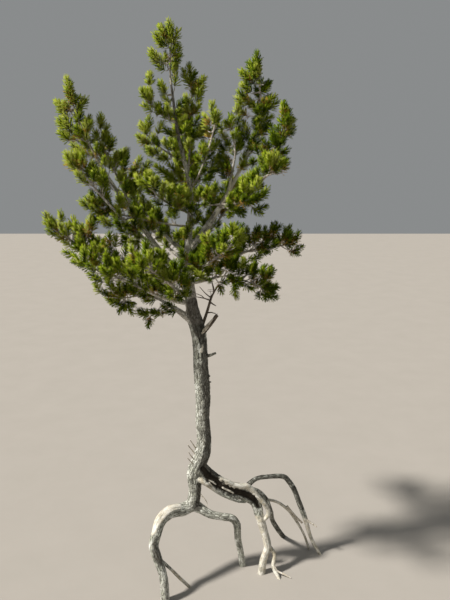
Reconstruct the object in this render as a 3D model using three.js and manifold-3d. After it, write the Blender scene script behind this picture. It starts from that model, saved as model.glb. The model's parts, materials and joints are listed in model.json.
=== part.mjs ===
// A wind-shaped pine that stands on its own bared roots, in millimetres, +Z up, on level ground at z = 0.
// Seen from the front, +X runs to the right and +Y runs away from the viewer.
// The origin is the middle of the flat cut under the trunk, where its stoutest leg meets the ground.

import * as THREE from "three";
import { mergeVertices } from "three/addons/utils/BufferGeometryUtils.js";
import Module from "manifold-3d";

const wasm = await Module();
wasm.setup();

// Driving sizes
const CLEARANCE = 0.4; // gap left between one piece and the limb that carries it
const BURIED = 90; // how far each root is drawn on below the ground before it is cut off level
const UP = new THREE.Vector3(0, 0, 1);
const RINGS_PER_STATION = 1.5;
const TRUNK_SIDES = 10;
const ROOT_SIDES = 6;
const BOUGH_SIDES = 5;
const STEM_SIDES = 4;
const TWIG_SIDES = 3;
const GOLDEN_ANGLE = THREE.MathUtils.degToRad(137.5); // turn from one twig to the next round its stem

// Colours read from the photograph
const BARK_GREY = 0x8d8b80;
const BARK_DARK = 0x5d5850;
const ROOT_GREY = 0x9a978a;
const NEEDLE_GREEN = 0x4a5f28;
const DEAD_WOOD = 0x6e5f52;
const ROUGHNESS = 0.95;

// A tuft is a shoot with its needles: a slim core with spikes swept forward all round it
const TUFT = {
  core: 235,
  coreRadius: 25,
  widest: 0.42, // share of the core's length where it is widest
  sides: 5,
  backNeedle: 98,
  backSweep: 0.85, // radians between the core's axis and the needles nearer its foot
  frontNeedle: 76,
  frontSweep: 0.45,
};
const TUFT_REACH = TUFT.coreRadius * 0.6 + TUFT.backNeedle * Math.sin(TUFT.backSweep);
const TUFT_SINK = 30; // how far a twig runs on inside its tuft

// Twigs lean out from their stem, less so towards its tip, and turn up
const TWIG = { thick: 8, thin: 5, lean: 1.0, tipLean: 0.65, upturn: 0.35, shortest: 60, spacing: 95 };
const TURNS = 5; // places round the stem that a twig tries
const SIDE_TUFTS = [0.3, 0.62]; // where the side tufts stand along a twig
const SIDE_LEAN = 0.95;
const SIDE_SIZE = 0.85; // of a side tuft, against one at a twig's end
const TIP_SIZE = 1.1; // of the tuft at the end of a stem
const OWN_SHARE = 0.74; // how much of their own reach tufts of one mass keep apart
const STEM_BASE_RADIUS = 14; // of a stem that springs straight from the trunk
const STEM_TIP_RADIUS = 6;

// The trunk from the ground to its tip: x, y, z and radius
const trunkRun = [
  [10, -30, -BURIED, 54],
  [-20, 40, 283, 46],
  [-88, 93, 464, 50],
  [-125, 133, 570, 53],
  [-90, 203, 692, 57],
  [-55, 273, 787, 66],
  [48, 373, 835, 74],
  [185, 463, 815, 74],
  [275, 500, 858, 72],
  [306, 503, 1049, 71],
  [303, 503, 1242, 83],
  [384, 503, 1446, 93],
  [413, 503, 1611, 80],
  [398, 503, 1850, 76],
  [402, 503, 2220, 81],
  [378, 503, 2520, 81],
  [375, 503, 2700, 81],
  [358, 503, 2850, 82],
  [318, 503, 3000, 78],
  [258, 518, 3480, 47],
  [262, 522, 3730, 38],
  [292, 506, 4340, 28],
  [185, 503, 4830, 20],
  [116, 503, 5350, 11],
];

// The bared roots: each is one tapering limb, given by x, y, z and radius, and named for where it stands
const rootRuns = {
  root_middle_arm: [
    [268, 500, 840, 58],
    [351, 490, 815, 57],
    [482, 470, 746, 46],
    [610, 472, 717, 42],
    [722, 490, 684, 44],
    [782, 515, 598, 43],
  ],
  root_middle_leg: [
    [782, 515, 598, 43],
    [790, 540, 481, 41],
    [797, 570, 362, 40],
    [824, 605, 199, 40],
    [848, 628, 0, 39],
    [858, 632, -BURIED, 40],
  ],
  root_right: [
    [335, 503, 1390, 60],
    [395, 512, 1270, 74],
    [487, 533, 1150, 84],
    [666, 563, 1010, 91],
    [850, 592, 950, 87],
    [985, 602, 835, 66],
    [1035, 590, 665, 51],
    [1092, 563, 480, 46],
    [1130, 533, 300, 43],
    [1082, 503, 150, 43],
    [1062, 483, 0, 46],
    [1055, 475, -BURIED, 48],
  ],
  root_front_fork: [
    [1122, 540, 345, 24],
    [1212, 523, 205, 23],
    [1196, 473, 90, 25],
    [1256, 385, 0, 21],
    [1300, 330, -BURIED, 19],
  ],
  root_back: [
    [900, 600, 985, 30],
    [1000, 612, 955, 31],
    [1100, 650, 845, 32],
    [1166, 712, 665, 31],
    [1215, 900, 410, 30],
    [1380, 1220, 0, 29],
    [1420, 1290, -BURIED, 28],
  ],
  root_far_right_arm: [
    [860, 600, 990, 30],
    [1000, 650, 1085, 27],
    [1150, 705, 1083, 26],
    [1330, 770, 1046, 29],
    [1395, 790, 970, 31],
  ],
  root_far_right_leg: [
    [1395, 790, 970, 31],
    [1450, 808, 870, 32],
    [1520, 833, 680, 32],
    [1596, 850, 474, 29],
    [1672, 853, 220, 22],
    [1786, 843, 0, 20],
    [1840, 838, -BURIED, 18],
  ],
  root_thin: [
    [985, 640, 830, 19],
    [1110, 700, 800, 17],
    [1250, 760, 735, 17],
    [1390, 815, 600, 18],
    [1500, 845, 430, 16],
    [1592, 880, 240, 15],
    [1668, 953, 0, 16],
    [1690, 980, -BURIED, 16],
  ],
  root_left_fork: [
    [-88, 95, 470, 20],
    [60, 130, 290, 17],
    [160, 175, 140, 18],
    [252, 233, 0, 18],
    [310, 270, -BURIED, 18],
  ],
};

// The boughs. Each leaves the trunk, or the bough it is on, at a height, and ends at its tip. It sags between
// them, and thins from the first radius to the second.
const boughs = [
  { name: "left_main", height: 3340, tip: [-560, 300, 4560], sag: 110, radii: [36, 17] },
  { name: "left_second", on: "left_main", height: 3900, tip: [-440, 440, 4480], sag: 50, radii: [17, 12] },
  { name: "left_third", height: 3680, tip: [-240, 690, 4150], sag: 90, radii: [22, 13] },
  { name: "left_shoulder", on: "left_main", height: 3750, tip: [-500, 100, 4250], sag: 60, radii: [18, 12] },
  { name: "left_out", height: 3250, tip: [-480, 250, 3600], sag: 80, radii: [28, 15] },
  { name: "left_low", height: 3160, tip: [-200, 0, 3430], sag: 70, radii: [24, 13] },
  { name: "left_bottom", height: 2930, tip: [-60, 460, 3220], sag: -40, radii: [38, 15] },
  { name: "front", height: 3290, tip: [150, 0, 3420], sag: 60, radii: [24, 14] },
  { name: "front_right", height: 3520, tip: [490, 150, 3640], sag: 50, radii: [20, 12] },
  { name: "right_main", height: 3700, tip: [950, 520, 4860], sag: 190, radii: [36, 17] },
  { name: "right_inner", on: "right_main", height: 4300, tip: [740, 410, 4640], sag: 20, radii: [15, 11] },
  { name: "far_right", on: "right_main", height: 4560, tip: [1110, 450, 4720], sag: 40, radii: [17, 12] },
  { name: "right_shoulder", on: "right_main", height: 4150, tip: [960, 300, 4390], sag: 40, radii: [17, 12] },
  { name: "right_out", height: 3530, tip: [780, 690, 3640], sag: 70, radii: [30, 15] },
  { name: "right_low", height: 3380, tip: [570, 250, 3480], sag: 20, radii: [24, 13] },
  { name: "back_left", height: 3620, tip: [-80, 1000, 3790], sag: 80, radii: [26, 14] },
  { name: "back_right", height: 3790, tip: [560, 1000, 3970], sag: 80, radii: [24, 13] },
  { name: "back_low", height: 3400, tip: [280, 1000, 3480], sag: 60, radii: [24, 14] },
  { name: "dead", height: 2830, tip: [487, 500, 3180], sag: 60, radii: [20, 13] },
  { name: "stub", height: 2800, tip: [560, 440, 3045], sag: 30, radii: [27, 19] },
];

// The masses of needles. Each has one stem, which carries on from the tip of the limb it is on, or springs
// from the trunk at a height, and ends at the mass's own tip. Spread is how far the mass reaches from its
// stem. A bare mass is dead twigs with no needles.
const masses = [
  { name: "top", on: "trunk", tip: [125, 503, 5740], spread: 190 },
  { name: "top_left", height: 4990, tip: [-100, 430, 5190], spread: 160 },
  { name: "high_center", height: 4480, tip: [310, 600, 5350], spread: 180 },
  { name: "high_right", height: 4340, tip: [545, 340, 4960], spread: 180 },
  { name: "high_left", height: 4620, tip: [-130, 400, 4880], spread: 190 },
  { name: "high_back", height: 4420, tip: [170, 960, 5020], spread: 230 },
  { name: "left_top", on: "left_main", tip: [-810, 295, 5160], spread: 190 },
  { name: "left_second", on: "left_second", tip: [-620, 460, 4870], spread: 200 },
  { name: "left_third", on: "left_third", tip: [-440, 780, 4560], spread: 220 },
  { name: "left_shoulder", on: "left_shoulder", tip: [-710, 10, 4540], spread: 220 },
  { name: "left_mid", height: 3960, tip: [-600, 230, 4180], spread: 220 },
  { name: "left_out", on: "left_out", tip: [-1005, 200, 3950], spread: 220 },
  { name: "left_low", on: "left_low", tip: [-660, -110, 3640], spread: 230 },
  { name: "left_bottom", on: "left_bottom", tip: [-390, 420, 3230], spread: 170 },
  { name: "front_high", height: 4100, tip: [-60, 60, 4360], spread: 230 },
  { name: "front", on: "front", tip: [-60, -450, 3690], spread: 280 },
  { name: "front_right", on: "front_right", tip: [740, -250, 3880], spread: 260 },
  { name: "right_top", on: "right_main", tip: [965, 505, 5440], spread: 190 },
  { name: "right_inner", on: "right_inner", tip: [690, 405, 4920], spread: 180 },
  { name: "far_right", on: "far_right", tip: [1240, 400, 4940], spread: 185 },
  { name: "right_shoulder", on: "right_shoulder", tip: [1100, 150, 4530], spread: 220 },
  { name: "right_mid", height: 4180, tip: [900, 20, 4230], spread: 230 },
  { name: "right_out", on: "right_out", tip: [1270, 750, 3740], spread: 280 },
  { name: "right_low", on: "right_low", tip: [1000, 90, 3400], spread: 240 },
  { name: "back_left", on: "back_left", tip: [-480, 1350, 4120], spread: 270 },
  { name: "back_right", on: "back_right", tip: [820, 1380, 4300], spread: 270 },
  { name: "back_low", on: "back_low", tip: [180, 1420, 3720], spread: 270 },
  { name: "back_center", height: 4120, tip: [240, 1100, 4560], spread: 240 },
  { name: "dead", on: "dead", tip: [585, 510, 3360], spread: 150, bare: true },
];

// The same two numbers always give the same fraction between 0 and 1
function chance(first, second) {
  const wave = Math.sin(first * 12.9898 + second * 78.233) * 43758.5453;
  return wave - Math.floor(wave);
}

const lerp = THREE.MathUtils.lerp;
const vector = ([x, y, z]) => new THREE.Vector3(x, y, z);
const ahead = (from, heading, distance) => from.clone().addScaledVector(heading, distance);

function radiusAt(radii, share) {
  const along = share * (radii.length - 1);
  const before = Math.min(Math.floor(along), radii.length - 2);
  return lerp(radii[before], radii[before + 1], along - before);
}

// Where a rising limb's centreline passes a height
function shareAtHeight(curve, height) {
  let [low, high] = [0, 1];
  for (let i = 0; i < 30; i++) {
    const middle = (low + high) / 2;
    if (curve.getPoint(middle).z < height) low = middle;
    else high = middle;
  }
  return low;
}

// A closed three.js geometry as a solid, with its shared vertices merged and its flat slivers dropped
function solidOf(geometry) {
  const bare = geometry.clone();
  bare.deleteAttribute("normal");
  bare.deleteAttribute("uv");
  const merged = mergeVertices(bare, 1e-3);
  const corners = merged.index.array;
  const kept = [];
  for (let i = 0; i < corners.length; i += 3) {
    const [a, b, c] = [corners[i], corners[i + 1], corners[i + 2]];
    if (a !== b && b !== c && a !== c) kept.push(a, b, c);
  }
  const vertProperties = new Float32Array(merged.attributes.position.array);
  return new wasm.Manifold(new wasm.Mesh({ numProp: 3, vertProperties, triVerts: new Uint32Array(kept) }));
}

function meshOf(name, solid, color) {
  const { numProp, numVert, vertProperties, triVerts } = solid.getMesh();
  const position = new Float32Array(numVert * 3);
  for (let i = 0; i < numVert; i++) {
    position.set(vertProperties.subarray(i * numProp, i * numProp + 3), i * 3);
  }
  const geometry = new THREE.BufferGeometry();
  geometry.setAttribute("position", new THREE.BufferAttribute(position, 3));
  geometry.setIndex(new THREE.BufferAttribute(triVerts, 1));
  const material = new THREE.MeshStandardMaterial({ color, roughness: ROUGHNESS, metalness: 0 });
  const mesh = new THREE.Mesh(geometry, material);
  mesh.name = name;
  return mesh;
}

// A limb is a unit cylinder bent on to its curve, with its radius taken from the list along it.
// Grown, it is a little fatter all over and longer at both ends.
function limbSolid(curve, radii, sides, steps, grow = 0) {
  const rings = [];
  let across = new THREE.Vector3(1, 0, 0);
  for (let i = 0; i <= steps; i++) {
    const heading = curve.getTangent(i / steps);
    if (Math.abs(across.dot(heading)) > 0.95) across = new THREE.Vector3(0, 1, 0);
    across = across.clone().projectOnPlane(heading).normalize();
    const centre = curve.getPoint(i / steps);
    if (i === 0) centre.addScaledVector(heading, -grow);
    if (i === steps) centre.addScaledVector(heading, grow);
    const radius = radiusAt(radii, i / steps) + grow;
    rings.push({ centre, across, around: across.clone().cross(heading), radius });
  }
  const geometry = new THREE.CylinderGeometry(1, 1, 1, sides, steps);
  const place = geometry.attributes.position;
  for (let i = 0; i < place.count; i++) {
    const ring = rings[Math.round((place.getY(i) + 0.5) * steps)];
    const point = ahead(ring.centre, ring.across, place.getX(i) * ring.radius);
    point.addScaledVector(ring.around, place.getZ(i) * ring.radius);
    place.setXYZ(i, point.x, point.y, point.z);
  }
  return solidOf(geometry);
}

// A tuft: a slim core turned on a lathe, with every face of it drawn out into one forward-swept spike
function tuftSolid(foot, direction, size, turn) {
  const widest = new THREE.Vector2(TUFT.coreRadius, TUFT.core * TUFT.widest);
  const profile = [new THREE.Vector2(), widest, new THREE.Vector2(0, TUFT.core)];
  const core = new THREE.LatheGeometry(profile, TUFT.sides).toNonIndexed().attributes.position;
  const corners = [];
  for (let i = 0; i < core.count; i += 3) {
    const [a, b, c] = [i, i + 1, i + 2].map((k) => new THREE.Vector3().fromBufferAttribute(core, k));
    const shortestEdge = Math.min(a.distanceTo(b), b.distanceTo(c), c.distanceTo(a));
    if (shortestEdge < 0.01) continue;
    const middle = a.clone().add(b).add(c).divideScalar(3);
    const isFront = middle.y > widest.y;
    const sweep = isFront ? TUFT.frontSweep : TUFT.backSweep;
    const outward = new THREE.Vector3(middle.x, 0, middle.z).setLength(Math.sin(sweep)).setY(Math.cos(sweep));
    const apex = ahead(middle, outward, isFront ? TUFT.frontNeedle : TUFT.backNeedle);
    for (const edge of [[a, b], [b, c], [c, a]]) {
      for (const corner of [...edge, apex]) corners.push(...corner.toArray());
    }
  }
  const spiky = new THREE.BufferGeometry();
  spiky.setAttribute("position", new THREE.Float32BufferAttribute(corners, 3));
  spiky.rotateY(turn);
  spiky.scale(size, size, size);
  spiky.applyQuaternion(new THREE.Quaternion().setFromUnitVectors(new THREE.Vector3(0, 1, 0), direction));
  spiky.translate(foot.x, foot.y, foot.z);
  return solidOf(spiky);
}

// Space that is already taken: rods with a radius, each owned by one piece
const taken = [];

function claimRod(owner, start, end, radius, isTuft = false) {
  taken.push({ owner, start, end, radius, isTuft });
}

function claimCurve(owner, curve, radii, pieces) {
  for (let i = 0; i < pieces; i++) {
    const radius = radiusAt(radii, (i + 0.5) / pieces);
    claimRod(owner, curve.getPoint(i / pieces), curve.getPoint((i + 1) / pieces), radius);
  }
}

// Shortest distance between two straight rods
function rodGap(a0, a1, b0, b1) {
  const u = a1.clone().sub(a0);
  const v = b1.clone().sub(b0);
  const w = a0.clone().sub(b0);
  const uu = u.dot(u);
  const uv = u.dot(v);
  const vv = v.dot(v);
  const cross = uu * vv - uv * uv;
  const clamp = (x) => THREE.MathUtils.clamp(x, 0, 1);
  let s = cross > 1e-6 ? clamp((uv * v.dot(w) - vv * u.dot(w)) / cross) : 0;
  const t = clamp((uv * s + v.dot(w)) / vv);
  s = clamp((uv * t - u.dot(w)) / uu);
  return ahead(a0, u, s).distanceTo(ahead(b0, v, t));
}

// A rod is free when it keeps clear of every other piece. Tufts of one mass may overlap, but not share
// one place.
function isFree(owner, start, end, radius, isTuft = false) {
  return taken.every((rod) => {
    const gap = rodGap(start, end, rod.start, rod.end);
    if (rod.owner !== owner) return gap > radius + rod.radius + CLEARANCE;
    return !isTuft || !rod.isTuft || gap > (radius + rod.radius) * OWN_SHARE;
  });
}

const pine = new THREE.Group();
pine.name = "pine";
const limbs = {};

// A limb is cut clear of the limbs made before it, and level with the ground
function addLimb(name, meshName, curve, radii, sides, steps, color) {
  let solid = limbSolid(curve, radii, sides, steps);
  for (const limb of Object.values(limbs)) solid = solid.subtract(limb.cutter);
  solid = solid.trimByPlane(UP.toArray(), 0);
  limbs[name] = { curve, radii, cutter: limbSolid(curve, radii, sides, steps, CLEARANCE) };
  claimCurve(name, curve, radii, 16);
  pine.add(meshOf(meshName, solid, color));
}

function addRun(name, run, sides, color) {
  const curve = new THREE.CatmullRomCurve3(run.map(vector), false, "centripetal");
  const radii = run.map((station) => station[3]);
  addLimb(name, name, curve, radii, sides, Math.round(run.length * RINGS_PER_STATION), color);
}

addRun("trunk", trunkRun, TRUNK_SIDES, BARK_GREY);
for (const [name, run] of Object.entries(rootRuns)) addRun(name, run, ROOT_SIDES, ROOT_GREY);

// A point on a carrier's centreline, and the greatest radius that a limb springing from it may have
function springPoint(carrier, height) {
  const { curve, radii } = limbs[carrier];
  const share = shareAtHeight(curve, height);
  return { start: curve.getPoint(share), most: radiusAt(radii, share) * 0.85 };
}

// A bough sags between its two ends, and swells into a collar where it leaves its carrier
for (const { name, on = "trunk", height, tip, sag, radii: [thick, thin] } of boughs) {
  const { start, most } = springPoint(on, height);
  const end = vector(tip);
  const bend = ahead(start.clone().lerp(end, 0.5), UP, -sag);
  const curve = new THREE.QuadraticBezierCurve3(start, bend, end);
  const radii = [Math.min(thick * 1.2, most), thick, lerp(thick, thin, 0.55), thin * 1.1, thin];
  addLimb(name, `bough_${name}`, curve, radii, BOUGH_SIDES, 5, BARK_DARK);
}

// The stem of a mass springs sideways from the trunk, or carries on from the tip of its limb
function stemOf({ on, height, tip }) {
  const end = vector(tip);
  if (height) {
    const { start, most } = springPoint("trunk", height);
    const out = end.clone().sub(start).multiply(new THREE.Vector3(0.6, 0.6, 0.3));
    const curve = new THREE.QuadraticBezierCurve3(start, start.clone().add(out), end);
    return { curve, radii: [Math.min(STEM_BASE_RADIUS, most), STEM_TIP_RADIUS] };
  }
  const { curve, radii } = limbs[on];
  const heading = curve.getTangent(1);
  const start = ahead(curve.getPoint(1), heading, CLEARANCE);
  const bend = ahead(start, heading, start.distanceTo(end) * 0.4);
  return { curve: new THREE.QuadraticBezierCurve3(start, bend, end), radii: [radii.at(-1), STEM_TIP_RADIUS] };
}

const stems = masses.map(stemOf);
masses.forEach(({ name }, i) => claimCurve(`needles_${name}`, stems[i].curve, stems[i].radii, 6));

// A direction that leans out from a heading, at a turn round it, and is lifted a little
function leaning(heading, turn, lean, lift) {
  const side = UP.clone().cross(heading);
  if (side.length() < 0.1) side.set(1, 0, 0);
  side.normalize().applyAxisAngle(heading, turn).multiplyScalar(Math.sin(lean));
  return side.addScaledVector(heading, Math.cos(lean)).addScaledVector(UP, lift).normalize();
}

// One mass: a stem, twigs in turn round it, and tufts at the stem's and twigs' ends and along the twigs.
// A twig that would touch another piece is turned on round the stem, and skipped where no turn is free.
function massSolid({ name, spread, height, bare }, { curve, radii }, massNumber) {
  const owner = `needles_${name}`;
  const pieces = [limbSolid(curve, radii, STEM_SIDES, 4)];
  const spine = Array.from({ length: 9 }, (_, i) => curve.getPoint(i / 8));
  const isInside = (point) => spine.some((centre) => centre.distanceTo(point) < spread);

  function addTuft(foot, pointing, size, seed) {
    const reach = TUFT_REACH * size;
    const near = ahead(foot, pointing, reach);
    const far = ahead(foot, pointing, TUFT.core * size - reach * 0.6);
    if (!isFree(owner, near, far, reach, true)) return false;
    claimRod(owner, near, far, reach, true);
    pieces.push(tuftSolid(foot, pointing, size, chance(massNumber, seed) * Math.PI));
    return true;
  }

  function addSideTufts(foot, end, out, turn, seed) {
    SIDE_TUFTS.forEach((along, k) => {
      const sideTurn = turn + k * Math.PI + chance(massNumber, seed + 40 + k);
      const aside = leaning(out, sideTurn, SIDE_LEAN, TWIG.upturn);
      const root = foot.clone().lerp(end, along);
      if (isInside(ahead(root, aside, TUFT.core * 0.7))) addTuft(root, aside, SIDE_SIZE, seed + 60 + k * 20);
    });
  }

  function addTwig(share, turn, seed) {
    const out = leaning(curve.getTangent(share), turn, lerp(TWIG.lean, TWIG.tipLean, share), TWIG.upturn);
    const foot = curve.getPoint(share);
    const length = Math.max(TWIG.shortest, spread - TUFT.core * 0.5) * lerp(1.1, 0.75, share);
    const end = ahead(foot, out, length);
    if (!isFree(owner, foot.clone().lerp(end, 0.2), end, TWIG.thick)) return false;
    const pointing = ahead(out, UP, TWIG.upturn).normalize();
    const size = lerp(0.92, 1.08, chance(massNumber, seed + 20));
    if (!bare && !addTuft(ahead(end, pointing, -TUFT_SINK), pointing, size, seed)) return false;
    claimRod(owner, foot, end, TWIG.thick);
    pieces.push(limbSolid(new THREE.LineCurve3(foot, end), [TWIG.thick, TWIG.thin], TWIG_SIDES, 1));
    if (!bare) addSideTufts(foot, end, out, turn, seed);
    return true;
  }

  const tipHeading = curve.getTangent(1);
  if (!bare) addTuft(ahead(curve.getPoint(1), tipHeading, -TUFT_SINK), tipHeading, TIP_SIZE, 99);
  const count = Math.max(3, Math.round(curve.getLength() / TWIG.spacing));
  for (let i = 0; i < count; i++) {
    const share = lerp(0.14, 0.9, i / (count - 1));
    const turn = i * GOLDEN_ANGLE + chance(massNumber, i) * 0.8;
    for (let go = 0; go < TURNS; go++) {
      if (addTwig(share, turn + (go * 2 * Math.PI) / TURNS, i)) break;
    }
  }
  const whole = pieces.reduce((joined, piece) => joined.add(piece));
  return height ? whole.subtract(limbs.trunk.cutter) : whole;
}

masses.forEach((mass, i) => {
  const meshName = mass.bare ? `twigs_${mass.name}` : `needles_${mass.name}`;
  pine.add(meshOf(meshName, massSolid(mass, stems[i], i), mass.bare ? DEAD_WOOD : NEEDLE_GREEN));
});

export default pine;
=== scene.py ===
"""A wind-shaped pine on its own bared roots: bark, dead wood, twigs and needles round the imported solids.

Sizes are in metres. +Z is up, +X is the viewer's right and +Y runs away from the viewer. The origin
is where the trunk's leg meets the ground. A share is a place along a limb, from 0 at its foot to 1 at
its tip, and a run is a limb as rows of x, y, z and radius.
"""

import json
import math
from collections import namedtuple

import bpy
import numpy as np
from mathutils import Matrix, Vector, noise

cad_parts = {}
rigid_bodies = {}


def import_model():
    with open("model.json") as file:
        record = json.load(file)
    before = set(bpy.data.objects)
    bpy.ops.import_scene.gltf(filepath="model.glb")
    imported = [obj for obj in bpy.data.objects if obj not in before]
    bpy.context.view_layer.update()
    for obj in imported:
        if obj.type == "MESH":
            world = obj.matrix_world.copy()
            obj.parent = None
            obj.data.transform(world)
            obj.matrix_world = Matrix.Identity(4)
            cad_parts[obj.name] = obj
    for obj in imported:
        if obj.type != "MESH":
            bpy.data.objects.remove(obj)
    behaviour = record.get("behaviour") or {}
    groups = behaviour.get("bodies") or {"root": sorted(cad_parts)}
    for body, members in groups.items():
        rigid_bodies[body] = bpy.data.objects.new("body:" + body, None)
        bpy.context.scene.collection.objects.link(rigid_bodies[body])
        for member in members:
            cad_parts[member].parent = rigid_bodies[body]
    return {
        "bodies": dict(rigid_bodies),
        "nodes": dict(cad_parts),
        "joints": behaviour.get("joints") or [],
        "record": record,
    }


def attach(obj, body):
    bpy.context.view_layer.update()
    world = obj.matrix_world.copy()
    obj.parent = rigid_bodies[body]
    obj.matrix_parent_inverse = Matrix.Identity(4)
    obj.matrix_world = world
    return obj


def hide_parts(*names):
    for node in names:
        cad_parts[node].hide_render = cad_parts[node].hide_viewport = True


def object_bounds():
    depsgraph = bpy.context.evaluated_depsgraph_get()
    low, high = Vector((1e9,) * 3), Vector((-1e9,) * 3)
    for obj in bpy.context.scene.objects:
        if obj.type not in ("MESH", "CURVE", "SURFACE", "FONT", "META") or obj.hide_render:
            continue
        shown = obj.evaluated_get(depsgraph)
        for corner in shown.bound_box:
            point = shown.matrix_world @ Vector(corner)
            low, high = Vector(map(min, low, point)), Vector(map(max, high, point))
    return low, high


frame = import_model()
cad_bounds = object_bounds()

UP = np.array([0.0, 0.0, 1.0])

# The view
CAMERA_PLACE = (0.644, -6.007, 4.53)
CAMERA_TILT = math.radians(90 - 11.6)
CAMERA_LENS = 38
FLOOR_SIZE = 80
SUN_FROM = (-2.4, -0.87, 2.8)
SUN_STRENGTH = 5.2
SUN_SOFTNESS = 6
SUN_COLOR = (1.0, 0.96, 0.90)
SKY_COLOR = (0.84, 0.87, 0.88, 1.0)
SKY_STRENGTH = 0.30

# Colours: pale and middle plates, cracks, bleached wood, and the dark of hollows and stains, much of it
# painted shade
BARK_COLORS = (
    (0.62, 0.63, 0.56, 1.0),
    (0.29, 0.29, 0.245, 1.0),
    (0.055, 0.046, 0.034, 1.0),
    (0.68, 0.64, 0.545, 1.0),
    (0.035, 0.028, 0.020, 1.0),
)
# The boughs' and the crown's trunk bark: their own pale bark, made lighter than the trunk's as painted
# light where foliage shades them
BOUGH_COLORS = (
    (0.78, 0.75, 0.68, 1.0),
    (0.44, 0.41, 0.35, 1.0),
    (0.065, 0.055, 0.042, 1.0),
    (0.68, 0.64, 0.545, 1.0),
    (0.035, 0.028, 0.020, 1.0),
)
# Colours of thin wood: its light and its dark streaks
TWIG_COLORS = ((0.56, 0.52, 0.45, 1.0), (0.20, 0.17, 0.13, 1.0))
# The dead limb's and stub's own dark brown, made darker as painted shade for the crown's shadow on them
DRY_WOOD_AND_SHADE_COLORS = ((0.15, 0.12, 0.09, 1.0), (0.05, 0.038, 0.028, 1.0))
TORN_WOOD_COLORS = ((0.68, 0.63, 0.54, 1.0), (0.34, 0.29, 0.22, 1.0))
# Colours of the floor's darker and lighter patches, and the ends of the shaders' scales
FLOOR_COLORS = ((0.36, 0.335, 0.30, 1.0), (0.40, 0.37, 0.335, 1.0))
WHITE = (1.0, 1.0, 1.0, 1.0)
BLACK = (0.0, 0.0, 0.0, 1.0)
# Colours of each shade of needle: most, and some
SHADES = {
    "deep": ((0.055, 0.092, 0.002, 1.0), (0.088, 0.135, 0.004, 1.0)),
    "green": ((0.17, 0.235, 0.004, 1.0), (0.25, 0.31, 0.012, 1.0)),
    "fresh_and_lit": ((0.275, 0.325, 0.032, 1.0), (0.37, 0.40, 0.075, 1.0)),
    "rusty": ((0.36, 0.20, 0.035, 1.0), (0.48, 0.30, 0.060, 1.0)),
}
SHADE_LADDER = ("deep", "green", "fresh_and_lit")
# Painted shade on the needles, away from the light: how much they deepen with each metre to the right of a
# place in the crown and below it
SHADE_PLACE = (0.2, 4.2)
DEEPER_RIGHTWARD = 0.35
DEEPER_DOWNWARD = 0.30
SHADE_PULL = 0.75
FRESH_AND_LIT_BELOW = 0.27
GREEN_BELOW = 0.68

# The trunk from below the ground to its tip: x, y, z and radius
TRUNK = [
    (0.010, -0.030, -0.090, 0.054),
    (-0.020, 0.040, 0.283, 0.046),
    (-0.088, 0.093, 0.464, 0.050),
    (-0.125, 0.133, 0.570, 0.053),
    (-0.090, 0.203, 0.692, 0.057),
    (-0.055, 0.273, 0.787, 0.066),
    (0.048, 0.373, 0.835, 0.074),
    (0.185, 0.463, 0.815, 0.074),
    (0.275, 0.500, 0.858, 0.072),
    (0.306, 0.503, 1.049, 0.071),
    (0.303, 0.503, 1.242, 0.083),
    (0.384, 0.503, 1.446, 0.093),
    (0.413, 0.503, 1.611, 0.080),
    (0.398, 0.503, 1.850, 0.076),
    (0.402, 0.503, 2.220, 0.081),
    (0.378, 0.503, 2.520, 0.081),
    (0.375, 0.503, 2.700, 0.081),
    (0.358, 0.503, 2.850, 0.082),
    (0.318, 0.503, 3.000, 0.078),
    (0.258, 0.518, 3.480, 0.047),
    (0.262, 0.522, 3.730, 0.038),
    (0.292, 0.506, 4.340, 0.028),
    (0.185, 0.503, 4.830, 0.020),
    (0.116, 0.503, 5.350, 0.011),
]

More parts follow.
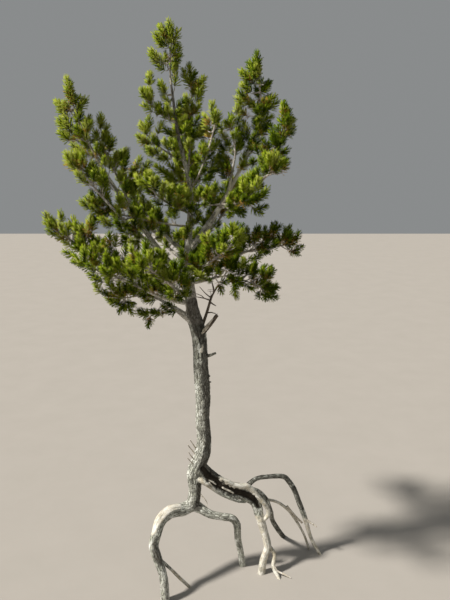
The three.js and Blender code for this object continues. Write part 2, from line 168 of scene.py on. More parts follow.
# The bared roots, each drawn on below the ground
ROOTS = {
    "root_middle_arm": [
        (0.268, 0.500, 0.840, 0.058),
        (0.351, 0.490, 0.815, 0.057),
        (0.482, 0.470, 0.746, 0.046),
        (0.610, 0.472, 0.717, 0.042),
        (0.722, 0.490, 0.684, 0.044),
        (0.782, 0.515, 0.598, 0.043),
    ],
    "root_middle_leg": [
        (0.782, 0.515, 0.598, 0.043),
        (0.790, 0.540, 0.481, 0.041),
        (0.797, 0.570, 0.362, 0.040),
        (0.824, 0.605, 0.199, 0.040),
        (0.848, 0.628, 0.000, 0.039),
        (0.858, 0.632, -0.090, 0.040),
    ],
    "root_right": [
        (0.335, 0.503, 1.390, 0.060),
        (0.395, 0.512, 1.270, 0.074),
        (0.487, 0.533, 1.150, 0.084),
        (0.666, 0.563, 1.010, 0.091),
        (0.850, 0.592, 0.950, 0.087),
        (0.985, 0.602, 0.835, 0.066),
        (1.035, 0.590, 0.665, 0.051),
        (1.092, 0.563, 0.480, 0.046),
        (1.130, 0.533, 0.300, 0.043),
        (1.082, 0.503, 0.150, 0.043),
        (1.062, 0.483, 0.000, 0.046),
        (1.055, 0.475, -0.090, 0.048),
    ],
    "root_front_fork": [
        (1.122, 0.540, 0.345, 0.024),
        (1.212, 0.523, 0.205, 0.023),
        (1.196, 0.473, 0.090, 0.025),
        (1.256, 0.385, 0.000, 0.021),
        (1.300, 0.330, -0.090, 0.019),
    ],
    "root_back": [
        (0.900, 0.600, 0.985, 0.030),
        (1.000, 0.612, 0.955, 0.031),
        (1.100, 0.650, 0.845, 0.032),
        (1.166, 0.712, 0.665, 0.031),
        (1.215, 0.900, 0.410, 0.030),
        (1.380, 1.220, 0.000, 0.029),
        (1.420, 1.290, -0.090, 0.028),
    ],
    "root_far_right_arm": [
        (0.860, 0.600, 0.990, 0.030),
        (1.000, 0.650, 1.085, 0.027),
        (1.150, 0.705, 1.083, 0.026),
        (1.330, 0.770, 1.046, 0.029),
        (1.395, 0.790, 0.970, 0.031),
    ],
    "root_far_right_leg": [
        (1.395, 0.790, 0.970, 0.031),
        (1.450, 0.808, 0.870, 0.032),
        (1.520, 0.833, 0.680, 0.032),
        (1.596, 0.850, 0.474, 0.029),
        (1.672, 0.853, 0.220, 0.022),
        (1.786, 0.843, 0.000, 0.020),
        (1.840, 0.838, -0.090, 0.018),
    ],
    "root_thin": [
        (0.985, 0.640, 0.830, 0.019),
        (1.110, 0.700, 0.800, 0.017),
        (1.250, 0.760, 0.735, 0.017),
        (1.390, 0.815, 0.600, 0.018),
        (1.500, 0.845, 0.430, 0.016),
        (1.592, 0.880, 0.240, 0.015),
        (1.668, 0.953, 0.000, 0.016),
        (1.690, 0.980, -0.090, 0.016),
    ],
    "root_left_fork": [
        (-0.088, 0.095, 0.470, 0.020),
        (0.060, 0.130, 0.290, 0.017),
        (0.160, 0.175, 0.140, 0.018),
        (0.252, 0.233, 0.000, 0.018),
        (0.310, 0.270, -0.090, 0.018),
    ],
}

# Ribs of bleached wood that stand proud of the right root, and the snag and nubs of lost branches
RIBS = {
    "top_rib": [
        (0.455, 0.493, 1.250, 0.024),
        (0.522, 0.490, 1.195, 0.026),
        (0.594, 0.483, 1.170, 0.028),
        (0.672, 0.490, 1.128, 0.031),
        (0.733, 0.503, 1.086, 0.031),
        (0.812, 0.523, 1.062, 0.031),
        (0.885, 0.543, 1.055, 0.031),
        (0.948, 0.553, 1.004, 0.030),
        (1.017, 0.553, 0.915, 0.028),
        (1.085, 0.553, 0.838, 0.027),
        (1.130, 0.560, 0.758, 0.025),
        (1.137, 0.563, 0.690, 0.024),
        (1.094, 0.568, 0.625, 0.022),
        (1.055, 0.580, 0.600, 0.016),
    ],
    "low_rib": [
        (0.318, 0.478, 1.212, 0.018),
        (0.380, 0.443, 1.172, 0.032),
        (0.452, 0.438, 1.128, 0.032),
        (0.516, 0.453, 1.065, 0.023),
        (0.599, 0.473, 0.993, 0.021),
        (0.700, 0.493, 0.929, 0.019),
        (0.801, 0.523, 0.873, 0.015),
        (0.881, 0.553, 0.845, 0.010),
    ],
    "snag": [
        (0.400, 0.495, 2.575, 0.024),
        (0.474, 0.463, 2.600, 0.018),
        (0.549, 0.443, 2.634, 0.013),
    ],
    "upper_nub": [
        (0.430, 0.500, 2.345, 0.016),
        (0.486, 0.480, 2.368, 0.009),
    ],
    "lower_nub": [
        (0.430, 0.495, 2.275, 0.016),
        (0.496, 0.474, 2.304, 0.009),
    ],
}

# Boughs: name, the limb it leaves and at what height, its tip, how far it sags, and its two radii
BOUGHS = [
    ("left_main", "trunk", 3.340, (-0.560, 0.300, 4.560), 0.110, 0.036, 0.017),
    ("left_second", "left_main", 3.900, (-0.440, 0.440, 4.480), 0.050, 0.017, 0.012),
    ("left_third", "trunk", 3.680, (-0.240, 0.690, 4.150), 0.090, 0.022, 0.013),
    ("left_shoulder", "left_main", 3.750, (-0.500, 0.100, 4.250), 0.060, 0.018, 0.012),
    ("left_out", "trunk", 3.250, (-0.480, 0.250, 3.600), 0.080, 0.028, 0.015),
    ("left_low", "trunk", 3.160, (-0.200, 0.000, 3.430), 0.070, 0.024, 0.013),
    ("left_bottom", "trunk", 2.930, (-0.060, 0.460, 3.220), -0.040, 0.038, 0.015),
    ("front", "trunk", 3.290, (0.150, 0.000, 3.420), 0.060, 0.024, 0.014),
    ("front_right", "trunk", 3.520, (0.490, 0.150, 3.640), 0.050, 0.020, 0.012),
    ("right_main", "trunk", 3.700, (0.950, 0.520, 4.860), 0.190, 0.036, 0.017),
    ("right_inner", "right_main", 4.300, (0.740, 0.410, 4.640), 0.020, 0.015, 0.011),
    ("far_right", "right_main", 4.560, (1.110, 0.450, 4.720), 0.040, 0.017, 0.012),
    ("right_shoulder", "right_main", 4.150, (0.960, 0.300, 4.390), 0.040, 0.017, 0.012),
    ("right_out", "trunk", 3.530, (0.780, 0.690, 3.640), 0.070, 0.030, 0.015),
    ("right_low", "trunk", 3.380, (0.570, 0.250, 3.480), 0.020, 0.024, 0.013),
    ("back_left", "trunk", 3.620, (-0.080, 1.000, 3.790), 0.080, 0.026, 0.014),
    ("back_right", "trunk", 3.790, (0.560, 1.000, 3.970), 0.080, 0.024, 0.013),
    ("back_low", "trunk", 3.400, (0.280, 1.000, 3.480), 0.060, 0.024, 0.014),
    ("dead", "trunk", 2.830, (0.487, 0.500, 3.180), 0.060, 0.020, 0.013),
    ("stub", "trunk", 2.800, (0.560, 0.440, 3.045), 0.030, 0.027, 0.019),
]
DEAD_BOUGHS = ("dead", "stub")

# Masses of needles: name, the limb whose tip it carries on from or the height at which it leaves the
# trunk, its own tip, and how far it reaches from its stem
MASSES = [
    ("top", "trunk", (0.125, 0.503, 5.740), 0.190),
    ("top_left", 4.990, (-0.100, 0.430, 5.190), 0.160),
    ("high_center", 4.480, (0.310, 0.600, 5.350), 0.180),
    ("high_right", 4.340, (0.545, 0.340, 4.960), 0.180),
    ("high_left", 4.620, (-0.130, 0.400, 4.880), 0.190),
    ("high_back", 4.420, (0.170, 0.960, 5.020), 0.230),
    ("left_top", "left_main", (-0.810, 0.295, 5.160), 0.190),
    ("left_second", "left_second", (-0.620, 0.460, 4.870), 0.200),
    ("left_third", "left_third", (-0.440, 0.780, 4.560), 0.220),
    ("left_shoulder", "left_shoulder", (-0.710, 0.010, 4.540), 0.220),
    ("left_mid", 3.960, (-0.600, 0.230, 4.180), 0.220),
    ("left_out", "left_out", (-1.005, 0.200, 3.950), 0.220),
    ("left_low", "left_low", (-0.660, -0.110, 3.640), 0.230),
    ("left_bottom", "left_bottom", (-0.390, 0.420, 3.230), 0.170),
    ("front_high", 4.100, (-0.060, 0.060, 4.360), 0.230),
    ("front", "front", (-0.060, -0.450, 3.690), 0.280),
    ("front_right", "front_right", (0.740, -0.250, 3.880), 0.260),
    ("right_top", "right_main", (0.965, 0.505, 5.440), 0.190),
    ("right_inner", "right_inner", (0.690, 0.405, 4.920), 0.180),
    ("far_right", "far_right", (1.240, 0.400, 4.940), 0.185),
    ("right_shoulder", "right_shoulder", (1.100, 0.150, 4.530), 0.220),
    ("right_mid", 4.180, (0.900, 0.020, 4.230), 0.230),
    ("right_out", "right_out", (1.270, 0.750, 3.740), 0.280),
    ("right_low", "right_low", (1.000, 0.090, 3.400), 0.240),
    ("back_left", "back_left", (-0.480, 1.350, 4.120), 0.270),
    ("back_right", "back_right", (0.820, 1.380, 4.300), 0.270),
    ("back_low", "back_low", (0.180, 1.420, 3.720), 0.270),
    ("back_center", 4.120, (0.240, 1.100, 4.560), 0.240),
    ("dead", "dead", (0.585, 0.510, 3.360), 0.150),
]
BARE_MASS = "dead"

# The rule by which twigs grow, with the sizes of the solids
CLEARANCE = 0.0004
GOLDEN_ANGLE = math.radians(137.5)
TUFT_LENGTH = 0.235
TUFT_REACH = 0.025 * 0.6 + 0.098 * math.sin(0.85)
TUFT_SINK = 0.030
TWIG_THICK = 0.008
TWIG_LEAN = 1.0
TWIG_TIP_LEAN = 0.65
UPTURN = 0.35
SHORTEST_TWIG = 0.060
TWIG_SPACING = 0.095
TURNS = 5
SIDE_TUFTS = (0.3, 0.62)
SIDE_LEAN = 0.95
SIDE_SIZE = 0.85
TIP_SIZE = 1.1
TWIG_SIZES = (0.92, 1.08)
TWIG_SHARES = (0.14, 0.9)
TWIG_TAPER = (1.1, 0.75)
TURN_CHANCE = 0.8
OWN_SHARE = 0.74
SPRING_SHARE = 0.85
STEM_BASE_RADIUS = 0.014
STEM_TIP_RADIUS = 0.006
# Where a stem's bend lies, from its start: on the trunk as shares of its way, else straight ahead
STEM_BEND = (0.6, 0.6, 0.3)
STEM_AHEAD = 0.4

# Wood
RUN_SPACING = 0.02
VOXEL = 0.006
CREASE_ROUNDS = 14
CREASE_FILL = 0.9
BUMP_ROUNDS = 4
BUMP_LOSS = 0.1
BOLE_FOOT = 1.15
BOLE_TOP = 2.95
GRAIN_STEP = 0.012
GRAIN_TWIST = 0.5
PLATE_WIDTH = 0.019
PLATE_LENGTH = 0.065
PLATE_WANDER = 0.007
# The shader's own finer plates on the trunk and roots, and on the boughs
BARK_PLATE = 0.015
BOUGH_PLATE = 0.012
# How many streaks a metre of twig and of dead wood has
TWIG_SCALE = 60.0
DEAD_SCALE = 45.0
SMOOTH_UP_TO = 70
# Relief as shares of the limb's radius, counted up to a thickest one
PLATE_RISE = 0.020
CRACK_DEPTH = 0.060
BARK_ROUGHNESS = 0.022
FIBRE_RISE = 0.05
THICKEST_RELIEF = 0.10
# How far a hollow sinks, and how dark a stained place, mostly painted shade, is beside a hollow
HOLLOW_DEPTH = 0.024
STAIN_AND_SHADE_DEPTH = 0.75
# Where the edge of a marked place starts outside its run, and where it is full inside it
BARE_EDGE = (0.012, -0.004)
HOLLOW_EDGE = (0.010, -0.012)
STAIN_AND_SHADE_EDGE = (0.020, -0.010)
SLIVER_EDGE = (0.006, -0.004)
# Thin wood: its radii at foot and tip, its pieces, how far it wanders and how far it sags
TWIG_SHAPE = (0.0065, 0.0040, 4, 0.16, 0.05)
DEAD_TWIG_SHAPE = (0.0055, 0.0022, 5, 0.25)
SPUR_SHAPE = (0.003, 0.0012, 3, 0.2)
SPLINTER_SHAPE = (0.011, 0.004, 4, 0.06)
SPUR_SHARES = (0.35, 0.6, 0.8)
SPUR_LENGTHS = (0.05, 0.09)
BROKEN_LENGTH = 0.035

# Places where the bark has gone and the wood is bleached: x, y, z and radius
BLEACHED = [
    RIBS["top_rib"][2:],
    RIBS["low_rib"][:4],
    ROOTS["root_right"][6:11],
    ROOTS["root_front_fork"][:4],
    ROOTS["root_far_right_leg"][3:6],
    ROOTS["root_thin"][1:7],
    ROOTS["root_left_fork"][1:4],
    [(-0.125, 0.180, 0.700, 0.030), (-0.095, 0.235, 0.800, 0.052), (0.000, 0.330, 0.885, 0.058)],
    [(0.000, 0.330, 0.890, 0.056), (0.110, 0.400, 0.890, 0.044)],
    [(0.396, 0.418, 2.660, 0.012), (0.420, 0.418, 2.720, 0.014)],
    [(0.560, 0.480, 4.090, 0.020), (0.640, 0.480, 4.220, 0.036), (0.780, 0.480, 4.530, 0.032)],
    [(0.780, 0.480, 4.530, 0.032), (0.870, 0.490, 4.700, 0.024), (0.945, 0.500, 4.860, 0.014)],
]
# Places where the wood is hollowed out and painted dark: the old wood's own dark, and painted shade in the
# hollow
HOLLOWS = [
    [
        (0.423, 0.440, 1.300, 0.050),
        (0.489, 0.440, 1.205, 0.062),
        (0.600, 0.443, 1.105, 0.064),
        (0.722, 0.453, 1.022, 0.064),
        (0.833, 0.473, 0.980, 0.066),
        (0.924, 0.493, 0.939, 0.062),
        (0.993, 0.523, 0.855, 0.045),
        (1.036, 0.560, 0.770, 0.022),
    ],
    [(0.381, 0.420, 2.790, 0.012), (0.388, 0.418, 2.740, 0.016), (0.392, 0.418, 2.700, 0.010)],
]
# Places where the bark is painted dark: partly its own dark stains, mostly painted shade and shadow
# The painted shade lies on sides that face away from the light, on roots behind the bole, and under the
# crown.
STAINS_AND_PAINTED_SHADE = [
    [(0.460, 0.440, 1.560, 0.040), (0.450, 0.440, 1.460, 0.060), (0.430, 0.430, 1.350, 0.074)],
    [(0.430, 0.480, 1.320, 0.070), (0.520, 0.510, 1.220, 0.060), (0.590, 0.520, 1.150, 0.040)],
    [(0.365, 0.450, 1.130, 0.024), (0.362, 0.450, 0.950, 0.030), (0.340, 0.440, 0.840, 0.036)],
    [(0.320, 0.430, 3.150, 0.080), (0.350, 0.430, 3.000, 0.080), (0.400, 0.430, 2.840, 0.060)],
    [(-0.095, 0.085, 0.610, 0.030), (-0.080, 0.055, 0.510, 0.048), (-0.050, 0.030, 0.430, 0.030)],
    ROOTS["root_back"][2:6],
    ROOTS["root_far_right_arm"],
    [(1.440, 0.785, 0.900, 0.026), (1.500, 0.810, 0.780, 0.026), (1.560, 0.825, 0.620, 0.022)],
    RIBS["snag"],
    [(0.478, 0.440, 1.620, 0.048), (0.458, 0.440, 2.200, 0.050), (0.436, 0.440, 2.750, 0.050)],
    [(0.210, 0.503, 4.720, 0.030), (0.185, 0.503, 4.830, 0.030), (0.116, 0.503, 5.350, 0.020)],
]
# Pale slivers of wood inside the hollow
SLIVERS = [
    [(0.622, 0.470, 1.067, 0.009), (0.677, 0.476, 1.033, 0.011), (0.738, 0.485, 0.996, 0.009)],
    [(0.473, 0.450, 1.168, 0.006), (0.512, 0.453, 1.142, 0.008), (0.545, 0.458, 1.116, 0.005)],
]
# Splinters on the bole's left side, from foot to tip
SPLINTERS = [
    ((0.349, 0.495, 1.488), (0.261, 0.463, 1.641)),
    ((0.339, 0.471, 1.436), (0.241, 0.433, 1.596)),
    ((0.325, 0.466, 1.384), (0.246, 0.423, 1.519)),
    ((0.314, 0.466, 1.334), (0.234, 0.423, 1.448)),
]
# Torn pale wood between the dead limb and the stub
TORN_WOOD = [
    [(0.415, 0.440, 2.870, 0.016), (0.455, 0.430, 2.930, 0.018), (0.520, 0.430, 3.010, 0.006)],
    [(0.400, 0.435, 2.850, 0.012), (0.440, 0.425, 2.890, 0.012), (0.480, 0.420, 2.935, 0.004)],
]
# Forks and pegs of the dead limb
DEAD_FORKS = [
    [(0.530, 0.500, 3.280, 0.010), (0.520, 0.490, 3.340, 0.008), (0.505, 0.480, 3.400, 0.005)],
    [(0.500, 0.500, 3.215, 0.007), (0.440, 0.470, 3.270, 0.005), (0.380, 0.450, 3.345, 0.003)],
    [(0.488, 0.500, 3.190, 0.008), (0.430, 0.460, 3.220, 0.006), (0.350, 0.440, 3.240, 0.004)],
    [(0.430, 0.460, 3.220, 0.005), (0.400, 0.450, 3.250, 0.004), (0.345, 0.440, 3.275, 0.003)],
    [(0.490, 0.500, 3.170, 0.009), (0.520, 0.470, 3.155, 0.007), (0.550, 0.460, 3.140, 0.004)],
    [(0.460, 0.490, 3.060, 0.008), (0.500, 0.460, 3.070, 0.006), (0.545, 0.450, 3.060, 0.005)],
]
ROOTLETS = [
    [
        (0.340, 0.490, 1.020, 0.008),
        (0.397, 0.450, 0.970, 0.006),
        (0.431, 0.450, 0.927, 0.005),
        (0.447, 0.455, 0.884, 0.004),
        (0.436, 0.460, 0.848, 0.003),
    ],
    [
        (1.373, 0.803, 0.659, 0.012),
        (1.433, 0.803, 0.581, 0.012),
        (1.497, 0.823, 0.492, 0.013),
        (1.560, 0.840, 0.420, 0.012),
    ],
    [
        (1.560, 0.850, 0.520, 0.016),
        (1.629, 0.833, 0.447, 0.013),
        (1.688, 0.823, 0.414, 0.010),
        (1.734, 0.803, 0.386, 0.006),
    ],
    [
        (1.200, 0.470, 0.100, 0.014),
        (1.236, 0.443, 0.053, 0.013),
        (1.314, 0.413, 0.032, 0.010),
        (1.391, 0.383, 0.006, 0.005),
    ],
]

# Finer twigs and shoots, grown by chance in the room that is left round each stem
FINE_TWIG_SPACING = 0.022
FINE_TWIG_LEANS = (0.6, 1.15)
FINE_TWIG_LENGTHS = (0.35, 1.0)
FINE_TWIG_INSET = 0.11
FINE_TWIG_SIZES = (0.95, 1.3)
FINE_SPACING = 0.034
FINE_LEANS = (0.55, 0.95)
FINE_SIZES = (0.85, 1.2)
FINE_OUTSET = 0.02
FINE_GAP = 0.042
LIMB_GAP = 0.035
SHOOT_UPTURN = 0.35
# The share of a shoot from its foot that carries no needles, so that others may cross it
NEEDLELESS_SHARE = 0.35
LAST_SHOOT_SHARE = 0.97
CLOTHED_FROM = 0.2
BARE_STEM = 0.06
# Limbs that carry finer twigs of their own: from what share of their length, and how far these reach
CLOTHED = {
    "left_main": (0.45, 0.20),
    "left_second": (0.35, 0.18),
    "left_third": (0.40, 0.18),
    "left_shoulder": (0.35, 0.18),
    "left_out": (0.30, 0.20),
    "left_low": (0.30, 0.20),
    "left_bottom": (0.50, 0.17),
    "front": (0.28, 0.21),
    "front_right": (0.30, 0.21),
    "right_main": (0.58, 0.20),
    "right_inner": (0.40, 0.16),
    "far_right": (0.40, 0.16),
    "right_shoulder": (0.45, 0.18),
    "right_out": (0.50, 0.21),
    "right_low": (0.45, 0.19),
    "back_left": (0.50, 0.21),
    "back_right": (0.50, 0.21),
    "back_low": (0.50, 0.21),
}
# Masses whose stems are bare up to a share of their length
BARE_STEMS = {"top": 0.45, "right_top": 0.35}
# Masses with shoots only at the ends of their twigs, so that the sky shows between them
OPEN_MASSES = (
    "top", "top_left", "high_center", "high_right", "high_left", "left_top", "left_second", "left_mid",
    "right_top", "right_inner", "far_right",
)
OPEN_TWIG_SPACING = 0.11
OPEN_CLOTHED_FROM = 0.62
OPEN_SIZE = 0.80
OPEN_DRAW = 0.28
# Limbs that the shoots of the rule leave in view, from one share of their length to another
SEEN_LIMBS = {"right_main": (0.50, 0.98)}
SEEN_WIDTH = 0.045
SEEN_DEPTH = 0.55
SEEN_RODS = 16
# The places of shoots that the photograph shows at the crown's edge, and before the trunk and the limbs.
# Each is reached by a twig, with small shoots on it: fewer of them above a height, where sky shows.
PLACED_SIZE = 1.2
PLACED_SINK = 0.95
PLACED_BARE_SHARE = 0.3
OPEN_HEIGHT = 4.60
OPEN_SPREAD = 0.06
DENSE_SPREAD = 0.15
# Shares of the trunk that such twigs may spring from: the first, the step and the number
TRUNK_SPRINGS = (0.84, 0.008, 20)
PLACED_SHOOTS = [
    (0.02, 0.48, 5.83), (-0.01, 0.52, 5.72), (0.19, 0.52, 5.62), (-0.07, 0.50, 5.57), (-0.09, 0.48, 5.40),
    (0.01, 0.55, 5.30), (-0.10, 0.44, 5.24), (0.30, 0.57, 5.50), (0.41, 0.55, 5.35), (-0.15, 0.36, 4.79),
    (-0.10, 0.38, 4.67), (0.88, 0.50, 5.50), (0.81, 0.50, 5.41), (0.83, 0.47, 5.29), (0.77, 0.46, 5.16),
    (1.07, 0.52, 5.32), (1.11, 0.50, 5.19), (0.52, 0.42, 5.12), (0.45, 0.44, 5.01), (-0.95, 0.30, 5.11),
    (-0.94, 0.28, 4.95), (-0.92, 0.26, 4.82), (-0.69, 0.34, 5.14), (-0.34, 0.50, 4.67),
    (-0.62, 0.15, 4.01), (-0.46, 0.12, 3.88), (-0.37, 0.05, 4.00), (-0.30, 0.10, 3.75),
    (-0.50, 0.40, 3.20), (-0.36, 0.42, 3.10), (-0.21, 0.40, 3.03), (-0.09, 0.38, 3.05),
    (0.80, 0.48, 4.08), (0.96, 0.60, 3.90), (1.00, 0.42, 3.64), (1.42, 0.65, 3.83), (0.74, 0.36, 3.62),
    (0.66, 0.30, 3.40), (1.14, 0.30, 3.32), (0.99, 0.24, 3.26), (0.17, 0.22, 3.88), (0.27, 0.28, 3.93),
    (0.21, 0.20, 3.70), (0.32, 0.24, 3.61), (0.12, 0.15, 3.59), (0.27, 0.22, 3.46), (0.09, 0.30, 3.36),
    (0.40, 0.30, 3.75), (0.45, 0.25, 3.53), (-0.07, 0.25, 4.03), (0.03, 0.25, 3.93), (-0.18, 0.20, 4.11),
    (0.38, 0.65, 3.85), (0.53, 0.40, 3.61), (0.95, 0.50, 4.97), (0.72, 0.48, 5.01), (0.61, 0.55, 4.73),
    (0.58, 0.60, 4.58), (0.67, 0.55, 4.51), (0.51, 0.62, 4.45), (0.03, 0.45, 4.60), (0.11, 0.45, 4.53),
    (-0.60, 0.20, 4.03), (1.22, 0.42, 5.12), (1.28, 0.42, 4.98), (1.15, 0.42, 4.79), (0.02, 0.50, 5.84),
    (-0.02, 0.47, 5.75), (0.11, 0.50, 5.75), (0.19, 0.53, 5.80), (0.17, 0.50, 5.66), (0.19, 0.52, 5.57),
    (0.17, 0.52, 5.52), (-0.06, 0.48, 5.60), (-0.02, 0.50, 5.57), (-0.01, 0.52, 5.50),
    (-0.08, 0.46, 5.40), (-0.09, 0.44, 5.26), (0.01, 0.47, 5.31), (-0.09, 0.42, 5.18), (0.05, 0.50, 5.19),
    (-0.12, 0.40, 5.10), (0.00, 0.45, 5.11), (0.05, 0.50, 5.07), (0.09, 0.52, 5.03), (-0.13, 0.38, 4.93),
    (0.02, 0.44, 4.93), (0.07, 0.46, 4.88), (0.12, 0.50, 4.85), (-0.18, 0.30, 4.80), (-0.13, 0.32, 4.78),
    (-0.05, 0.38, 4.81), (-0.09, 0.28, 4.68), (0.05, 0.34, 4.62), (0.16, 0.53, 5.40), (0.23, 0.55, 5.44),
    (0.27, 0.55, 5.38), (0.33, 0.56, 5.40), (0.43, 0.56, 5.35), (0.42, 0.54, 5.27), (0.37, 0.58, 5.30),
    (0.27, 0.50, 5.19), (0.23, 0.48, 5.14), (0.19, 0.50, 5.05), (0.24, 0.47, 4.99), (0.39, 0.55, 5.12),
    (0.37, 0.45, 4.99), (0.29, 0.42, 4.92), (0.33, 0.42, 4.86), (0.29, 0.44, 4.77), (0.44, 0.45, 4.95),
    (0.47, 0.50, 4.88), (0.43, 0.45, 4.74), (0.17, 0.40, 4.64), (0.53, 0.50, 4.88), (0.58, 0.50, 4.94),
    (0.61, 0.55, 4.86), (0.65, 0.55, 4.79), (0.57, 0.50, 4.76), (0.68, 0.55, 4.73), (0.51, 0.50, 4.66),
    (0.61, 0.55, 4.67), (0.45, 0.45, 4.60), (0.55, 0.50, 4.58), (0.65, 0.55, 4.60), (0.07, 0.40, 4.46),
    (-0.19, 0.35, 4.58), (-0.11, 0.35, 4.55), (-0.02, 0.38, 4.52), (0.03, 0.40, 4.48), (0.11, 0.40, 4.43),
    (-0.37, 0.25, 3.91), (-0.31, 0.25, 3.93), (-0.26, 0.25, 3.89), (-0.21, 0.25, 3.85),
    (-0.33, 0.20, 3.83), (-0.26, 0.20, 3.80), (-0.41, 0.20, 3.84), (-0.54, 0.25, 4.24),
    (-0.49, 0.25, 4.17), (-0.53, 0.25, 4.09), (-0.46, 0.30, 4.10), (-0.58, 0.20, 4.19),
    (-0.56, 0.25, 4.31), (-0.65, 0.20, 4.27), (-0.61, 0.20, 4.10), (-0.64, 0.15, 4.04),
    (-0.54, 0.15, 4.02), (-0.69, 0.20, 4.21), (1.06, 0.50, 5.09), (1.07, 0.50, 5.00), (1.05, 0.50, 4.91),
    (1.28, 0.45, 4.89), (1.27, 0.45, 4.96), (0.89, 0.50, 4.70), (0.85, 0.50, 4.63), (0.82, 0.45, 4.55),
    (0.37, 0.30, 4.11), (0.33, 0.30, 4.15), (0.39, 0.30, 4.05), (0.37, 0.20, 3.49), (0.32, 0.20, 3.53),
    (0.41, 0.20, 3.47), (-0.14, 0.45, 3.17), (-0.19, 0.40, 3.23), (-0.42, 0.20, 3.39),
    (-0.51, 0.15, 3.41), (-0.62, 0.15, 3.43), (-0.35, 0.25, 3.35), (-0.66, 0.15, 3.47),
    (0.96, 0.50, 5.60), (0.96, 0.52, 5.55), (0.91, 0.50, 5.52), (0.95, 0.48, 5.48), (0.89, 0.50, 5.46),
    (0.94, 0.53, 5.43), (0.83, 0.50, 5.41), (0.87, 0.50, 5.38), (0.97, 0.52, 5.36), (1.07, 0.53, 5.32),
    (1.03, 0.55, 5.29), (0.85, 0.47, 5.31), (0.80, 0.47, 5.23), (0.83, 0.50, 5.18), (0.88, 0.55, 5.17),
    (0.91, 0.50, 5.12), (0.78, 0.45, 5.12), (0.79, 0.50, 5.08), (1.05, 0.54, 5.18), (1.10, 0.50, 5.17),
    (1.14, 0.50, 5.14), (1.06, 0.55, 5.11), (1.03, 0.50, 5.04), (0.98, 0.48, 4.98), (1.01, 0.50, 4.92),
    (1.07, 0.54, 4.94), (1.10, 0.50, 4.92), (1.23, 0.45, 5.13), (1.22, 0.45, 5.09), (1.28, 0.45, 5.05),
    (1.21, 0.42, 5.02), (1.19, 0.42, 4.96), (1.31, 0.45, 4.96), (1.27, 0.45, 4.92), (1.31, 0.45, 4.87),
    (1.16, 0.40, 4.89), (1.10, 0.40, 4.83), (1.16, 0.45, 4.81), (1.23, 0.40, 4.82), (1.21, 0.40, 4.77),
    (1.13, 0.40, 4.75), (0.93, 0.45, 4.83), (0.98, 0.45, 4.78), (0.89, 0.50, 4.78), (0.95, 0.45, 4.73),
    (1.01, 0.45, 4.71), (1.16, 0.40, 4.66), (1.24, 0.40, 4.67), (1.11, 0.40, 4.63), (1.19, 0.35, 4.59),
    (1.25, 0.35, 4.56), (0.79, 0.55, 5.01), (0.83, 0.55, 4.95), (0.78, 0.55, 4.91), (0.81, 0.55, 4.86),
    (0.78, 0.55, 4.80), (-0.85, 0.30, 5.34), (-0.85, 0.30, 5.29), (-0.84, 0.30, 5.24),
    (-0.82, 0.30, 5.21), (-0.95, 0.30, 5.12), (-0.91, 0.30, 5.09), (-0.77, 0.30, 5.15),
    (-0.72, 0.30, 5.13), (-0.77, 0.32, 5.07), (-0.73, 0.30, 5.03), (-0.92, 0.30, 5.03),
    (-0.88, 0.28, 4.97), (-0.94, 0.30, 4.92), (-0.88, 0.28, 4.91), (-0.92, 0.28, 4.84),
    (-0.86, 0.30, 4.82), (-0.81, 0.30, 4.86), (-0.77, 0.30, 4.90), (-0.68, 0.35, 4.98),
    (-0.67, 0.35, 4.91), (-0.70, 0.30, 4.85), (-0.74, 0.30, 4.79), (-0.57, 0.38, 5.01),
    (-0.55, 0.38, 4.97), (-0.51, 0.40, 4.90), (-0.53, 0.40, 4.84), (-0.49, 0.40, 4.80),
    (-0.45, 0.40, 4.77), (-0.81, 0.25, 4.71), (-0.76, 0.25, 4.69), (-0.86, 0.15, 4.60),
    (-0.81, 0.15, 4.56), (-0.62, 0.35, 4.80), (-0.67, 0.30, 4.68), (-0.57, 0.38, 4.73),
    (0.12, 0.50, 5.89), (0.11, 0.50, 5.84), (-0.53, 0.35, 3.18), (-0.47, 0.38, 3.15), (-0.41, 0.40, 3.12),
    (-0.35, 0.40, 3.15), (-0.21, 0.42, 3.05), (0.07, 0.44, 3.11), (0.08, 0.44, 3.05), (-0.64, 0.20, 3.36),
    (-1.11, 0.20, 4.06), (-1.00, 0.20, 3.87), (-0.87, 0.20, 3.96), (-0.89, 0.15, 3.69),
    (-0.75, 0.15, 3.57), (0.42, 0.55, 4.92), (0.44, 0.55, 4.86), (0.41, 0.50, 4.88), (0.56, 0.50, 4.63),
    (0.59, 0.50, 4.55), (0.61, 0.50, 4.47), (0.53, 0.45, 4.51), (0.47, 0.40, 4.41), (0.92, 0.40, 4.58),
    (0.40, 0.58, 5.23),
]

# Needles
NEEDLES_IN_BUNDLE = 3
NEEDLE_LENGTH = 0.056
NEEDLE_WIDTH = 0.0048
NEEDLE_TIP_WIDTH = 0.0038
NEEDLE_BACK_SWEEP = math.radians(64)
NEEDLE_FRONT_SWEEP = math.radians(16)
LEADER_LENGTH = 0.150
LEADER_BUNDLES = 56
LEADER_BENDS = (0.10, 0.02, 0.16, 0.06)
LEADER_THICK = 0.0036
SIDE_LENGTH = 0.085
SIDE_BUNDLES = 36
SIDE_BENDS = (0.14, 0.04, 0.20, 0.08)
SIDE_THICK = 0.0026
SHOOT_TAPER = 0.35
BRUSH_KINDS = 4
# How much bundles and single needles stray, in radians
BUNDLE_SWEEP_STRAY = 0.12
BUNDLE_TURN_STRAY = 0.20
NEEDLE_SWEEP_STRAY = 0.07
NEEDLE_TURN_STRAY = 0.09
FIRST_BUNDLE_SHARE = 0.14
# The side shoots of a leader: their shares, leans and sizes
LEADER_SIDES = (0.22, 0.40)
LEADER_SIDE_TURN = 2.6
LEADER_SIDE_LEANS = (0.6, 0.8)
LEADER_SIDE_LIFT = 0.15
LEADER_SIDE_SIZES = (0.85, 1.05)
